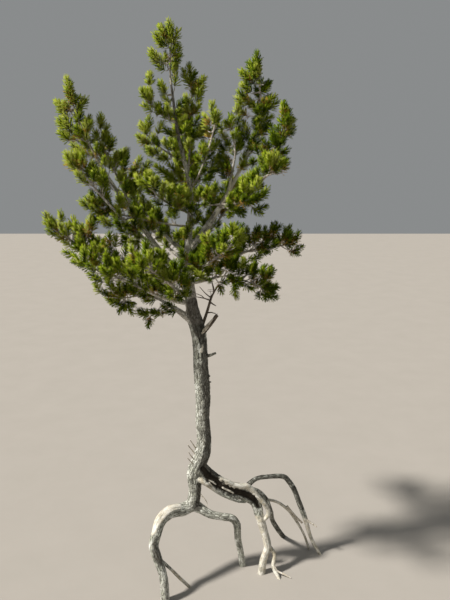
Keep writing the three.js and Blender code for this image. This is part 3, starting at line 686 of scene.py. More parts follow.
# Old needles at a shoot's foot, and the share of shoots that have them
OLD_NEEDLES = 32
OLD_SHARE = 0.20
# What part of a shoot's bundles are a shade darker, of its own shade, and a shade lighter
BUNDLE_SHARES = (0.28, 0.44, 0.28)
MOST_TRIANGLES = 190000

Limb = namedtuple("Limb", "course radii")
Shoot = namedtuple("Shoot", "foot toward size mass is_leader")


def lerp(low, high, share):
    return low + (high - low) * share


def unit(arrow):
    return arrow / np.linalg.norm(arrow)


def chance(first, second):
    """The same two numbers always give the same fraction between 0 and 1."""
    wave = math.sin(first * 12.9898 + second * 78.233) * 43758.5453
    return wave - math.floor(wave)


def radius_at(radii, share):
    along = share * (len(radii) - 1)
    before = min(int(along), len(radii) - 2)
    return lerp(radii[before], radii[before + 1], along - before)


class Bow:
    """The centreline of a limb that runs from one point to another, pulled towards a third."""

    def __init__(self, start, bend, end):
        self.start, self.bend, self.end = (np.asarray(p, float) for p in (start, bend, end))

    def point(self, share):
        first = lerp(self.start, self.bend, share)
        second = lerp(self.bend, self.end, share)
        return lerp(first, second, share)


class Run:
    """The centreline of a limb that runs smoothly through stations: a centripetal Catmull-Rom curve."""

    def __init__(self, stations):
        places = np.array([station[:3] for station in stations], float)
        before = 2 * places[0] - places[1]
        after = 2 * places[-1] - places[-2]
        self.places = np.vstack([before, places, after])

    def point(self, share):
        spans = len(self.places) - 3
        span = min(int(share * spans), spans - 1)
        t = share * spans - span
        p0, p1, p2, p3 = self.places[span : span + 4]
        g0, g1, g2 = (math.sqrt(np.linalg.norm(b - a)) for a, b in ((p0, p1), (p1, p2), (p2, p3)))
        leave = ((p1 - p0) / g0 - (p2 - p0) / (g0 + g1) + (p2 - p1) / g1) * g1
        arrive = ((p2 - p1) / g1 - (p3 - p1) / (g1 + g2) + (p3 - p2) / g2) * g1
        curve = 2 * p1 - 2 * p2 + leave + arrive
        slope = 3 * p2 - 3 * p1 - 2 * leave - arrive
        return p1 + t * (leave + t * (slope + t * curve))


def heading(course, share):
    step = 1e-4
    return unit(course.point(min(share + step, 1)) - course.point(max(share - step, 0)))


def length_of(course, pieces=200):
    points = np.array([course.point(i / pieces) for i in range(pieces + 1)])
    return np.linalg.norm(np.diff(points, axis=0), axis=1).sum()


def share_at_height(course, height):
    low, high = 0.0, 1.0
    for _ in range(30):
        middle = (low + high) / 2
        if course.point(middle)[2] < height:
            low = middle
        else:
            high = middle
    return low


def run_limb(stations):
    return Limb(Run(stations), [station[3] for station in stations])


def spring_point(carrier, height):
    """A point on a carrier's centreline, and the greatest radius that a limb may have there."""
    share = share_at_height(carrier.course, height)
    return carrier.course.point(share), radius_at(carrier.radii, share) * SPRING_SHARE


def grow_limbs():
    """The trunk, the roots and the boughs, by name."""
    limbs = {"trunk": run_limb(TRUNK)}
    for name, stations in ROOTS.items():
        limbs[name] = run_limb(stations)
    for name, carrier, height, tip, sag, thick, thin in BOUGHS:
        start, most = spring_point(limbs[carrier], height)
        bend = (start + np.array(tip)) / 2 - UP * sag
        radii = [min(thick * 1.2, most), thick, lerp(thick, thin, 0.55), thin * 1.1, thin]
        limbs[name] = Limb(Bow(start, bend, tip), radii)
    return limbs


def stem_of(limbs, carrier, tip):
    """The stem of a mass springs sideways from the trunk, or carries on from the tip of its limb."""
    end = np.array(tip)
    if not isinstance(carrier, str):
        start, most = spring_point(limbs["trunk"], carrier)
        bend = start + (end - start) * STEM_BEND
        return Limb(Bow(start, bend, end), [min(STEM_BASE_RADIUS, most), STEM_TIP_RADIUS])
    limb = limbs[carrier]
    toward = heading(limb.course, 1)
    start = limb.course.point(1) + toward * CLEARANCE
    bend = start + toward * (np.linalg.norm(end - start) * STEM_AHEAD)
    return Limb(Bow(start, bend, end), [limb.radii[-1], STEM_TIP_RADIUS])


def leaning(toward, turn, lean, lift):
    """A direction that leans out from a heading, at a turn round it, and is lifted a little."""
    side = np.cross(UP, toward)
    if np.linalg.norm(side) < 0.1:
        side = np.array([1.0, 0.0, 0.0])
    side = unit(side)
    turned = side * math.cos(turn) + np.cross(toward, side) * math.sin(turn)
    turned += toward * (toward @ side) * (1 - math.cos(turn))
    return unit(turned * math.sin(lean) + toward * math.cos(lean) + UP * lift)


class Room:
    """Space that is already taken: rods with a radius, each owned by one piece."""

    def __init__(self, most=20000):
        self.starts = np.zeros((most, 3))
        self.ends = np.zeros((most, 3))
        self.radii = np.zeros(most)
        self.owners = np.zeros(most, int)
        self.tufts = np.zeros(most, bool)
        self.count = 0

    def claim(self, owner, start, end, radius, is_tuft=False):
        i = self.count
        self.starts[i], self.ends[i], self.radii[i] = start, end, radius
        self.owners[i], self.tufts[i] = owner, is_tuft
        self.count += 1

    def claim_limb(self, owner, limb, pieces):
        for i in range(pieces):
            start, end = limb.course.point(i / pieces), limb.course.point((i + 1) / pieces)
            self.claim(owner, start, end, radius_at(limb.radii, (i + 0.5) / pieces))

    def is_free(self, owner, start, end, radius, is_tuft=False):
        """A rod keeps clear of every other piece, and tufts of one mass don't share one place."""
        used = slice(0, self.count)
        gaps = rod_gaps(start, end, self.starts[used], self.ends[used])
        room = gaps - radius - self.radii[used]
        own = self.owners[used] == owner
        if np.any(room[~own] <= CLEARANCE):
            return False
        both = (radius + self.radii[used]) * OWN_SHARE
        return not is_tuft or not np.any((gaps <= both)[own & self.tufts[used]])


def rod_gaps(start, end, starts, ends):
    """The shortest distances between one straight rod and many others."""
    u = end - start
    v = ends - starts
    w = start - starts
    uu = u @ u
    uv = v @ u
    vv = (v * v).sum(1)
    vw = (v * w).sum(1)
    cross = uu * vv - uv * uv
    lined_up = cross < 1e-12
    s = np.where(lined_up, 0, np.clip((uv * vw - vv * (w @ u)) / np.where(lined_up, 1, cross), 0, 1))
    t = np.clip((uv * s + vw) / vv, 0, 1)
    s = np.clip((uv * t - w @ u) / uu, 0, 1)
    apart = w + s[:, None] * u - t[:, None] * v
    return np.linalg.norm(apart, axis=1)


class Crown:
    """Every twig and shoot of the masses, grown by one rule from their stems."""

    def __init__(self, limbs):
        self.room = Room()
        self.stems = [stem_of(limbs, carrier, tip) for _, carrier, tip, _ in MASSES]
        self.twigs = []
        self.shoots = []
        for number, limb in enumerate(limbs.values()):
            self.room.claim_limb(-1 - number, limb, 16)
        for number, stem in enumerate(self.stems):
            self.room.claim_limb(number, stem, 6)
        for number, (name, _, _, spread) in enumerate(MASSES):
            self.grow_mass(number, spread, name == BARE_MASS)

    def add_shoot(self, number, foot, toward, size):
        reach = TUFT_REACH * size
        near = foot + toward * reach
        far = foot + toward * (TUFT_LENGTH * size - reach * 0.6)
        if not self.room.is_free(number, near, far, reach, True):
            return False
        self.room.claim(number, near, far, reach, True)
        self.shoots.append(Shoot(foot, toward, size, number, True))
        return True

    def add_side_shoots(self, number, spread, foot, end, out, turn, seed):
        spine = [self.stems[number].course.point(i / 8) for i in range(9)]
        for k, along in enumerate(SIDE_TUFTS):
            side_turn = turn + k * math.pi + chance(number, seed + 40 + k)
            aside = leaning(out, side_turn, SIDE_LEAN, UPTURN)
            root = lerp(foot, end, along)
            middle = root + aside * (TUFT_LENGTH * 0.7)
            if any(np.linalg.norm(centre - middle) < spread for centre in spine):
                self.add_shoot(number, root, aside, SIDE_SIZE)

    def add_twig(self, number, spread, is_bare, share, turn, seed):
        course = self.stems[number].course
        out = leaning(heading(course, share), turn, lerp(TWIG_LEAN, TWIG_TIP_LEAN, share), UPTURN)
        foot = course.point(share)
        length = max(SHORTEST_TWIG, spread - TUFT_LENGTH * 0.5) * lerp(*TWIG_TAPER, share)
        end = foot + out * length
        if not self.room.is_free(number, lerp(foot, end, 0.2), end, TWIG_THICK):
            return False
        toward = unit(out + UP * UPTURN)
        size = lerp(*TWIG_SIZES, chance(number, seed + 20))
        if not is_bare and not self.add_shoot(number, end - toward * TUFT_SINK, toward, size):
            return False
        self.room.claim(number, foot, end, TWIG_THICK)
        self.twigs.append((number, foot, end))
        if not is_bare:
            self.add_side_shoots(number, spread, foot, end, out, turn, seed)
        return True

    def grow_mass(self, number, spread, is_bare):
        """Twigs in turn round the stem, each turned on where it would touch another piece."""
        course = self.stems[number].course
        toward = heading(course, 1)
        if not is_bare:
            self.add_shoot(number, course.point(1) - toward * TUFT_SINK, toward, TIP_SIZE)
        count = max(3, round(length_of(course) / TWIG_SPACING))
        for i in range(count):
            share = lerp(*TWIG_SHARES, i / (count - 1))
            turn = i * GOLDEN_ANGLE + chance(number, i) * TURN_CHANCE
            for go in range(TURNS):
                if self.add_twig(number, spread, is_bare, share, turn + go * 2 * math.pi / TURNS, i):
                    break


class FineCrown:
    """The twigs and shoots of the rule, and finer ones wherever they leave room."""

    def __init__(self, limbs, crown):
        self.rng = np.random.default_rng(3)
        self.crown = crown
        self.twigs = [twig for twig in crown.twigs if MASSES[twig[0]][0] != BARE_MASS]
        self.shoots = []
        first, step, count = TRUNK_SPRINGS
        self.sources = np.array([limbs["trunk"].course.point(first + i * step) for i in range(count)])
        self.room = Room()
        for limb in [*limbs.values(), *crown.stems]:
            self.room.claim_limb(-1, limb, 24)
        first_view = self.room.count
        for name, stretch in SEEN_LIMBS.items():
            self.keep_view(limbs[name].course, stretch)
        starts = self.room.starts[first_view : self.room.count].copy()
        ends = self.room.ends[first_view : self.room.count].copy()
        for shoot in crown.shoots:
            shoot = self.drawn_in(shoot) if MASSES[shoot.mass][0] in OPEN_MASSES else shoot
            if rod_gaps(shoot.foot, self.tip_of(shoot), starts, ends).min() > SEEN_WIDTH:
                self.keep(shoot)
        for number, (name, _, _, spread) in enumerate(MASSES):
            if name != BARE_MASS:
                carriers = [(foot, end) for owner, foot, end in self.twigs if owner == number]
                first, course = BARE_STEMS.get(name, BARE_STEM), crown.stems[number].course
                self.fill(number, course, first, spread, carriers, name in OPEN_MASSES)
        for name, (first, spread) in CLOTHED.items():
            self.fill(len(MASSES), limbs[name].course, first, spread, [])
        for place in PLACED_SHOOTS:
            self.reach_for(np.array(place))

    def keep_view(self, course, stretch):
        """Holds the room between a stretch of a limb and the viewer open."""
        for i in range(SEEN_RODS):
            place = course.point(lerp(*stretch, i / (SEEN_RODS - 1)))
            toward = unit(np.array(CAMERA_PLACE) - place)
            self.room.claim(-1, place, place + toward * SEEN_DEPTH, SEEN_WIDTH)

    def tip_of(self, shoot):
        length = LEADER_LENGTH if shoot.is_leader else SIDE_LENGTH
        return shoot.foot + shoot.toward * length * shoot.size

    def drawn_in(self, shoot):
        """A smaller shoot, a little nearer to the stem of its mass."""
        course = self.crown.stems[shoot.mass].course
        spine = np.array([course.point(i / 12) for i in range(13)])
        nearest = spine[np.linalg.norm(spine - shoot.foot, axis=1).argmin()]
        return shoot._replace(foot=lerp(shoot.foot, nearest, OPEN_DRAW), size=shoot.size * OPEN_SIZE)

    def keep(self, shoot):
        """Keeps a shoot, turned up a little as shoots grow."""
        shoot = shoot._replace(toward=unit(shoot.toward + UP * SHOOT_UPTURN))
        self.shoots.append(shoot)
        tip = self.tip_of(shoot)
        self.room.claim(1, lerp(shoot.foot, tip, NEEDLELESS_SHARE), tip, 0)

    def add_shoot(self, shoot):
        """Adds a shoot that keeps its distance from every limb and from other shoots."""
        tip = self.tip_of(shoot)
        if np.any(tip < cad_bounds[0]) or np.any(tip > cad_bounds[1]):
            return False
        used = slice(0, self.room.count)
        start = lerp(shoot.foot, tip, NEEDLELESS_SHARE)
        gaps = rod_gaps(start, tip, self.room.starts[used], self.room.ends[used])
        is_limb = self.room.owners[used] == -1
        if np.any(gaps[is_limb] < self.room.radii[used][is_limb] + LIMB_GAP):
            return False
        if np.any(gaps[~is_limb] < FINE_GAP):
            return False
        self.keep(shoot)
        return True

    def add_side_shoots(self, number, foot, end, spine, spread, first=CLOTHED_FROM):
        """Shoots in turn along a twig, as long as they stay within the mass's reach."""
        out = unit(end - foot)
        turn = self.rng.uniform(0, 2 * math.pi)
        count = max(2, round(np.linalg.norm(end - foot) * (1 - first) / FINE_SPACING))
        for i in range(count):
            along = lerp(first, LAST_SHOOT_SHARE, i / (count - 1))
            turn += GOLDEN_ANGLE
            toward = leaning(out, turn, self.rng.uniform(*FINE_LEANS), UPTURN)
            shoot = Shoot(lerp(foot, end, along), toward, self.rng.uniform(*FINE_SIZES), number, False)
            away = np.linalg.norm(spine - self.tip_of(shoot), axis=1).min()
            if away < spread + FINE_OUTSET:
                self.add_shoot(shoot)

    def reach_for(self, place):
        """A twig with a shoot at a place, from the nearest limb or stem, rather from one below it."""
        apart = np.linalg.norm(self.sources - place, axis=1)
        above = np.maximum(self.sources[:, 2] - place[2], 0)
        foot = self.sources[(apart + above).argmin()]
        toward = unit(unit(place - foot) + UP * UPTURN)
        end = place - toward * SIDE_LENGTH * PLACED_SINK
        spread = OPEN_SPREAD if place[2] > OPEN_HEIGHT else DENSE_SPREAD
        self.twigs.append((len(MASSES), foot, end))
        self.keep(Shoot(end, toward, PLACED_SIZE, len(MASSES), False))
        first = lerp(foot, end, PLACED_BARE_SHARE)
        self.add_side_shoots(len(MASSES), first, end, place[None], spread)

    def fill(self, number, course, first, spread, carriers, is_open=False):
        """Finer twigs round a stem or a limb from a share of its length on, with shoots along them."""
        spine = np.array([course.point(lerp(first, 1.0, i / 12)) for i in range(13)])
        self.sources = np.concatenate([self.sources, spine])
        carriers.append((course.point(lerp(first, 1.0, 0.3)), course.point(0.98)))
        spacing, clothed_from = FINE_TWIG_SPACING, CLOTHED_FROM
        if is_open:
            spacing, clothed_from = OPEN_TWIG_SPACING, OPEN_CLOTHED_FROM
        count = round(length_of(course) * (1 - first) / spacing)
        for i in range(count):
            share = lerp(first, 1.0, (i + self.rng.uniform()) / count)
            lean = self.rng.uniform(*FINE_TWIG_LEANS)
            turn = i * GOLDEN_ANGLE + self.rng.uniform(0, 1)
            out = leaning(heading(course, share), turn, lean, UPTURN)
            foot = course.point(share)
            end = foot + out * (spread - FINE_TWIG_INSET) * self.rng.uniform(*FINE_TWIG_LENGTHS)
            toward = unit(out + UP * UPTURN)
            if self.add_shoot(Shoot(end, toward, self.rng.uniform(*FINE_TWIG_SIZES), number, False)):
                self.twigs.append((number, foot, end))
                carriers.append((foot, end))
        for foot, end in carriers:
            self.add_side_shoots(number, foot, end, spine, spread, clothed_from)


# Making meshes


def select_only(piece):
    bpy.ops.object.select_all(action="DESELECT")
    piece.select_set(True)
    bpy.context.view_layer.objects.active = piece


def apply_modifier(piece, kind, **settings):
    select_only(piece)
    modifier = piece.modifiers.new(kind.lower(), kind)
    for name, value in settings.items():
        setattr(modifier, name, value)
    bpy.ops.object.modifier_apply(modifier=modifier.name)


def duplicate(piece, name):
    copy = piece.copy()
    copy.data = piece.data.copy()
    copy.name = copy.data.name = name
    bpy.context.collection.objects.link(copy)
    return copy


def cut_level(piece, height, keep_above):
    """Cuts a closed piece level at a height, and closes it there."""
    select_only(piece)
    bpy.ops.object.mode_set(mode="EDIT")
    bpy.ops.mesh.select_all(action="SELECT")
    bpy.ops.mesh.bisect(
        plane_co=(0, 0, height),
        plane_no=(0, 0, 1),
        use_fill=True,
        clear_inner=keep_above,
        clear_outer=not keep_above,
    )
    bpy.ops.object.mode_set(mode="OBJECT")


def smooth_shading(piece, degrees):
    select_only(piece)
    bpy.ops.object.shade_smooth_by_angle(angle=math.radians(degrees))


def tubes(name, runs, profile_steps):
    """One mesh of round closed tubes, each given by rows of x, y, z and radius."""
    curve = bpy.data.curves.new(name, "CURVE")
    curve.dimensions = "3D"
    curve.bevel_depth = 1
    curve.bevel_resolution = profile_steps
    curve.use_fill_caps = True
    for run in runs:
        rows = np.asarray(run, float)
        spline = curve.splines.new("POLY")
        spline.points.add(len(rows) - 1)
        spline.points.foreach_set("co", np.column_stack([rows[:, :3], np.ones(len(rows))]).ravel())
        spline.points.foreach_set("radius", rows[:, 3].copy())
    piece = bpy.data.objects.new(name, curve)
    bpy.context.collection.objects.link(piece)
    select_only(piece)
    bpy.ops.object.convert(target="MESH")
    return piece


def triangle_piece(name, places, triangles):
    mesh = bpy.data.meshes.new(name)
    mesh.vertices.add(len(places))
    mesh.vertices.foreach_set("co", places.astype(np.float32).ravel())
    mesh.loops.add(triangles.size)
    mesh.loops.foreach_set("vertex_index", triangles.astype(np.int32).ravel())
    mesh.polygons.add(len(triangles))
    mesh.polygons.foreach_set("loop_start", np.arange(0, triangles.size, 3, dtype=np.int32))
    mesh.update(calc_edges=True)
    piece = bpy.data.objects.new(name, mesh)
    bpy.context.collection.objects.link(piece)
    return piece


def read_vectors(collection, key):
    values = np.empty(len(collection) * 3)
    collection.foreach_get(key, values)
    return values.reshape(-1, 3)


def write_places(mesh, places):
    mesh.vertices.foreach_set("co", places.astype(np.float32).ravel())
    mesh.update()


def write_attribute(mesh, name, kind, key, values):
    attribute = mesh.attributes.new(name, kind, "POINT")
    attribute.data.foreach_set(key, values.astype(np.float32).ravel())


# Wood


def rows_of(limb, spacing, start=0.0):
    """A limb as rows of x, y, z and radius."""
    steps = max(3, math.ceil(length_of(limb.course) * (1 - start) / spacing))
    shares = [lerp(start, 1.0, i / steps) for i in range(steps + 1)]
    return [(*limb.course.point(share), radius_at(limb.radii, share)) for share in shares]


class Grain:
    """The centrelines of limbs as samples, so that each place on the bark knows the limb under it."""

    def __init__(self, limbs):
        parts = [self.sample(limb, number) for number, limb in enumerate(limbs)]
        joined = [np.concatenate(group) for group in zip(*parts)]
        self.places, self.headings, self.across, self.along, self.radii = joined
        self.around = np.cross(self.headings, self.across)

    def sample(self, limb, number):
        rows = np.array(rows_of(limb, GRAIN_STEP))
        headings = np.gradient(rows[:, :3], axis=0)
        headings /= np.linalg.norm(headings, axis=1)[:, None]
        steps = np.linalg.norm(np.diff(rows[:, :3], axis=0), axis=1)
        along = np.concatenate([[0], np.cumsum(steps)])
        across = [unit(np.cross(headings[0], (0.31, 0.95, 0.05)))]
        for heading_here, step in zip(headings[1:], steps):
            level = unit(across[-1] - heading_here * (across[-1] @ heading_here))
            turn = GRAIN_TWIST * step
            across.append(level * math.cos(turn) + np.cross(heading_here, level) * math.sin(turn))
        return rows[:, :3], headings, np.array(across), along + number * 7.3, rows[:, 3]

    def follow(self, places):
        """Each place in the straightened limb under it, and that limb's radius there."""
        nearest = np.empty(len(places), int)
        squares = (self.places**2).sum(1)
        for first in range(0, len(places), 2000):
            part = places[first : first + 2000]
            apart = (part**2).sum(1)[:, None] + squares - 2 * part @ self.places.T
            depth = np.sqrt(np.maximum(apart, 0)) - self.radii
            nearest[first : first + 2000] = depth.argmin(1)
        offset = places - self.places[nearest]
        sideways = (offset * self.across[nearest]).sum(1)
        outward = (offset * self.around[nearest]).sum(1)
        lengthways = self.along[nearest] + (offset * self.headings[nearest]).sum(1)
        return np.column_stack([sideways, outward, lengthways]), self.radii[nearest]


def neighbour_means(mesh, places):
    edges = np.empty(len(mesh.edges) * 2, np.int32)
    mesh.edges.foreach_get("vertices", edges)
    near, far = edges.reshape(-1, 2).T
    count = np.bincount(near, minlength=len(places)) + np.bincount(far, minlength=len(places))
    means = np.empty_like(places)
    for axis in range(3):
        total = np.bincount(near, places[far, axis], len(places))
        total += np.bincount(far, places[near, axis], len(places))
        means[:, axis] = total / count
    return means


def fill_creases(piece, rounds):
    """Evens the surface out, and fills the creases where limbs join, so that they flow together."""
    mesh = piece.data
    for number in range(rounds):
        places = read_vectors(mesh.vertices, "co")
        normals = read_vectors(mesh.vertex_normals, "vector")
        toward = neighbour_means(mesh, places) - places
        outward = (toward * normals).sum(1)
        sideways = toward - normals * outward[:, None]
        lowered = outward * BUMP_LOSS * (number < BUMP_ROUNDS)
        raised = normals * np.where(outward > 0, outward * CREASE_FILL, lowered)[:, None]
        write_places(mesh, places + sideways * 0.5 + raised)


def noise_at(points, scales, offset=0.0):
    """Smooth noise from -1 to 1 at each point, scaled apart along each axis."""
    scaled = points * scales + offset
    return np.array([noise.noise(Vector(point)) for point in scaled])


def smoothstep(values, low, high):
    share = np.clip((values - low) / (high - low), 0, 1)
    return share * share * (3 - 2 * share)


def outside(places, run):
    """How far each place lies outside a tapering run of rows, and less than nothing inside it."""
    least = np.full(len(places), 9.0)
    for first, second in zip(run, run[1:]):
        a, b = np.array(first), np.array(second)
        step = b[:3] - a[:3]
        share = np.clip((places - a[:3]) @ step / (step @ step), 0, 1)
        apart = np.linalg.norm(places - a[:3] - share[:, None] * step, axis=1)
        least = np.minimum(least, apart - lerp(a[3], b[3], share))
    return least


def plates(grain):
    """The depth of the cracks between the bark's plates, 1 at a crack, and each plate's own height."""
    wander = np.column_stack([noise_at(grain, (28, 28, 14), shift) for shift in (3.1, 17.7, 41.3)])
    cells = (grain + wander * PLATE_WANDER) / (PLATE_WIDTH, PLATE_WIDTH, PLATE_LENGTH)
    crack = np.empty(len(grain))
    height = np.empty(len(grain))
    for i, cell in enumerate(cells):
        apart, centres = noise.voronoi(Vector(cell))
        crack[i] = apart[1] - apart[0]
        height[i] = noise.cell(centres[0] * 3.7)
    return 1 - smoothstep(crack, 0.0, 0.3), height


def marked(places, runs, ragged, outer, inner):
    """How deep each place lies in any of some runs, from 0 outside them to 1 within."""
    share = np.zeros(len(places))
    for run in runs:
        share = np.maximum(share, smoothstep(outside(places, run) + ragged, outer, inner))
    return share


def weather(piece, grain):
    """Gives the wood its relief, and its attributes: the straightened grain, bleached and dark places."""
    mesh = piece.data
    places = read_vectors(mesh.vertices, "co")
    normals = read_vectors(mesh.vertex_normals, "vector")
    straight, girth = grain.follow(places)
    ragged = noise_at(places, 34) * 0.010 + noise_at(straight, (90, 90, 12)) * 0.006
    bare = marked(places, BLEACHED, ragged, *BARE_EDGE)
    hollow = marked(places, HOLLOWS, ragged, *HOLLOW_EDGE) * (1 - bare)
    # Stained places: mostly painted shade and shadow, partly the bark's own dark stains
    stain_and_painted_shade = marked(places, STAINS_AND_PAINTED_SHADE, ragged * 1.5, *STAIN_AND_SHADE_EDGE)
    sliver = marked(places, SLIVERS, ragged * 0.4, *SLIVER_EDGE)
    bare = np.maximum(bare, sliver)
    hollow *= 1 - sliver
    dark = np.maximum(hollow, stain_and_painted_shade * (1 - bare) * STAIN_AND_SHADE_DEPTH)
    crack, height = plates(straight)
    lumps = noise_at(straight, (8, 8, 3.5)) * 0.10 + noise_at(straight, (24, 24, 3.4), 5.0) * 0.09
    rough = noise_at(straight, (70, 70, 28), 9.0) * BARK_ROUGHNESS
    bark = height * PLATE_RISE - crack * CRACK_DEPTH + rough
    fibres = noise_at(straight, (75, 75, 5), 2.0) * FIBRE_RISE
    lift = (lumps + lerp(bark, fibres, bare)) * np.minimum(girth, THICKEST_RELIEF)
    lift -= hollow * HOLLOW_DEPTH
    write_places(mesh, places + normals * lift[:, None])
    write_attribute(mesh, "grain", "FLOAT_VECTOR", "vector", straight)
    write_attribute(mesh, "bare", "FLOAT", "value", bare)
    write_attribute(mesh, "dark", "FLOAT", "value", dark)


def make_wood(limbs):
    """The trunk, the roots and the live boughs with their bark, in three closed pieces."""
    live = {name: limb for name, limb in limbs.items() if name not in DEAD_BOUGHS}
    for name, stations in RIBS.items():
        live[name] = run_limb(stations)
    wood = tubes("wood", [rows_of(limb, RUN_SPACING) for limb in live.values()], 6)
    apply_modifier(wood, "REMESH", mode="VOXEL", voxel_size=VOXEL)
    fill_creases(wood, CREASE_ROUNDS)
    weather(wood, Grain(list(live.values())))
    cut_level(wood, 0.0, True)
    bole = duplicate(wood, "bole")
    crown = duplicate(wood, "crown_limbs")
    wood.name = wood.data.name = "roots_and_leg"
    cut_level(wood, BOLE_FOOT, False)
    cut_level(bole, BOLE_FOOT, True)
    cut_level(bole, BOLE_TOP, False)
    cut_level(crown, BOLE_TOP, True)
    return wood, bole, crown


# Twigs and dead wood


def wandering(rng, start, end, thick, thin, steps, wander, rise=0.0):
    """A thin limb from start to end that wanders sideways, as rows of x, y, z and radius."""
    rows = [(*start, thick)]
    drift = np.zeros(3)
    reach = np.linalg.norm(np.asarray(end) - start)
    for i in range(1, steps + 1):
        share = i / steps
        drift += rng.normal(0, wander * reach / steps, 3) if i < steps else 0
        place = lerp(np.asarray(start), np.asarray(end), share) + drift * math.sin(share * math.pi)
        place = place - UP * rise * reach * math.sin(share * math.pi)
        rows.append((*place, lerp(thick, thin, share)))
    return rows


def make_twigs(crown, stems, sprays):
    rng = np.random.default_rng(11)
    stout = []
    for (name, _, _, _), stem in zip(MASSES, stems):
        if name != BARE_MASS:
            stout.append(rows_of(stem, 0.05))
    for _, foot, end in crown.twigs:
        stout.append(wandering(rng, foot, end, *TWIG_SHAPE))
    twigs = tubes("twigs", stout, 1)
    shoots = tubes("shoots", [spray.wood for spray in sprays], 0)
    return twigs, shoots


def make_dead_wood(limbs, crown):
    """The dead limb with its bare forking twigs, and the broken stub beside it."""
    rng = np.random.default_rng(23)
    runs = [rows_of(limbs["dead"], 0.03)]
    number = [mass[0] for mass in MASSES].index(BARE_MASS)
    runs.append(rows_of(crown.stems[number], 0.04))
    runs.extend(DEAD_FORKS)
    for owner, foot, end in crown.twigs:
        if owner != number:
            continue
        runs.append(wandering(rng, foot, end, *DEAD_TWIG_SHAPE))
        for share in SPUR_SHARES:
            start = lerp(foot, end, share)
            aside = unit(end - foot + rng.normal(0, 0.09, 3) + UP * 0.03)
            tip = start + aside * rng.uniform(*SPUR_LENGTHS)
            runs.append(wandering(rng, start, tip, *SPUR_SHAPE))
    dead = tubes("dead_limb", runs, 2)
    stub = tubes("broken_stub", [rows_of(limbs["stub"], 0.006)], 8)
    splinter(stub, limbs["stub"])
    return dead, stub


def splinter(stub, limb):
    """Breaks the end of a stub into ragged points, and gives the rest of it long fibres."""
    places = read_vectors(stub.data.vertices, "co")
    normals = read_vectors(stub.data.vertex_normals, "vector")
    tip, toward = limb.course.point(1), heading(limb.course, 1)
    past = (places - tip) @ toward
    across = places - tip - toward * past[:, None]
    points = noise_at(across, 95, 4.0) * BROKEN_LENGTH + noise_at(across, 210, 8.0) * 0.012
    near_end = smoothstep(past, -BROKEN_LENGTH, 0.0)
    places += toward * (points * near_end)[:, None]
    fibres = noise_at(places, (60, 60, 40)) * 0.0025
    write_places(stub.data, places + normals * fibres[:, None])


def make_details():
    """Splinters on the bole's left side and torn wood by the stub, and the fine curling rootlets."""
    rng = np.random.default_rng(31)
    splinters = [wandering(rng, foot, tip, *SPLINTER_SHAPE) for foot, tip in SPLINTERS]
    return tubes("splinters", splinters + TORN_WOOD, 1), tubes("rootlets", ROOTLETS, 2)


# Needles

Spray = namedtuple("Spray", "foot frame size kind shade wood")


def swept(sweep, turn):
    """Directions swept out from +Z, at turns round it."""
    return np.column_stack([np.sin(sweep) * np.cos(turn), np.sin(sweep) * np.sin(turn), np.cos(sweep)])


def needle_brush(rng, length, bundles, bend):
    """The needles of one shoot, as corners and triangles. It grows up +Z and bends towards +X."""
    along = lerp(FIRST_BUNDLE_SHARE, 1.0, (np.arange(bundles) + 0.5) / bundles)
    sweep = lerp(NEEDLE_BACK_SWEEP, NEEDLE_FRONT_SWEEP, along**1.3)
    sweep = sweep + rng.normal(0, BUNDLE_SWEEP_STRAY, bundles)
    turn = np.arange(bundles) * GOLDEN_ANGLE + rng.normal(0, BUNDLE_TURN_STRAY, bundles)
    along, sweep, turn = (np.repeat(values, NEEDLES_IN_BUNDLE) for values in (along, sweep, turn))
    count = len(along)
    turn = turn + rng.normal(0, NEEDLE_TURN_STRAY, count) / np.maximum(np.sin(sweep), 0.3)
    sweep = sweep + rng.normal(0, NEEDLE_SWEEP_STRAY, count)
    foot = np.column_stack([bend * length * along**2, np.zeros(count), length * along])
    leaned = np.arctan(2 * bend * along)
    out = swept(sweep, turn)
    toward = np.column_stack(
        [
            out[:, 0] * np.cos(leaned) + out[:, 2] * np.sin(leaned),
            out[:, 1],
            out[:, 2] * np.cos(leaned) - out[:, 0] * np.sin(leaned),
        ]
    )
    reach = NEEDLE_LENGTH * rng.uniform(0.82, 1.1, count)
    return needles_at(rng, foot, toward, reach)


def old_brush(rng, count):
    """Old needles that hang on at the foot of a shoot, wider apart and turned back."""
    along = rng.uniform(-0.02, 0.05, count)
    turn = rng.uniform(0, 2 * math.pi, count)
    sweep = rng.uniform(0.9, 1.7, count)
    foot = np.column_stack([np.zeros(count), np.zeros(count), along])
    return needles_at(rng, foot, swept(sweep, turn), NEEDLE_LENGTH * rng.uniform(0.7, 1.0, count))


def needles_at(rng, foot, toward, reach):
    """Needles of four faces each, from an edge at the foot to a crossed edge at the tip."""
    count = len(foot)
    side = np.cross(toward, rng.normal(0, 1, (count, 3)))
    side /= np.linalg.norm(side, axis=1)[:, None]
    other = np.cross(toward, side)
    tip = foot + toward * reach[:, None]
    near, far = side * NEEDLE_WIDTH / 2, other * NEEDLE_TIP_WIDTH / 2
    corners = np.stack([foot + near, foot - near, tip + far, tip - far], axis=1)
    first = np.arange(count)[:, None, None] * 4
    triangles = first + np.array([[0, 1, 2], [1, 0, 3], [2, 3, 0], [3, 2, 1]])
    return corners.reshape(-1, 3), triangles.reshape(-1, 3)


def shoot_frame(toward, turn):
    """Axes for a shoot: its third is the heading, and its first is nearly upward, turned a little."""
    lifted = UP - toward * toward[2]
    if np.linalg.norm(lifted) < 0.15:
        lifted = np.cross(toward, (0.3, 0.9, 0.1))
    first = unit(lifted)
    second = np.cross(toward, first)
    turned = first * math.cos(turn) + second * math.sin(turn)
    return np.column_stack([turned, np.cross(toward, turned), toward])


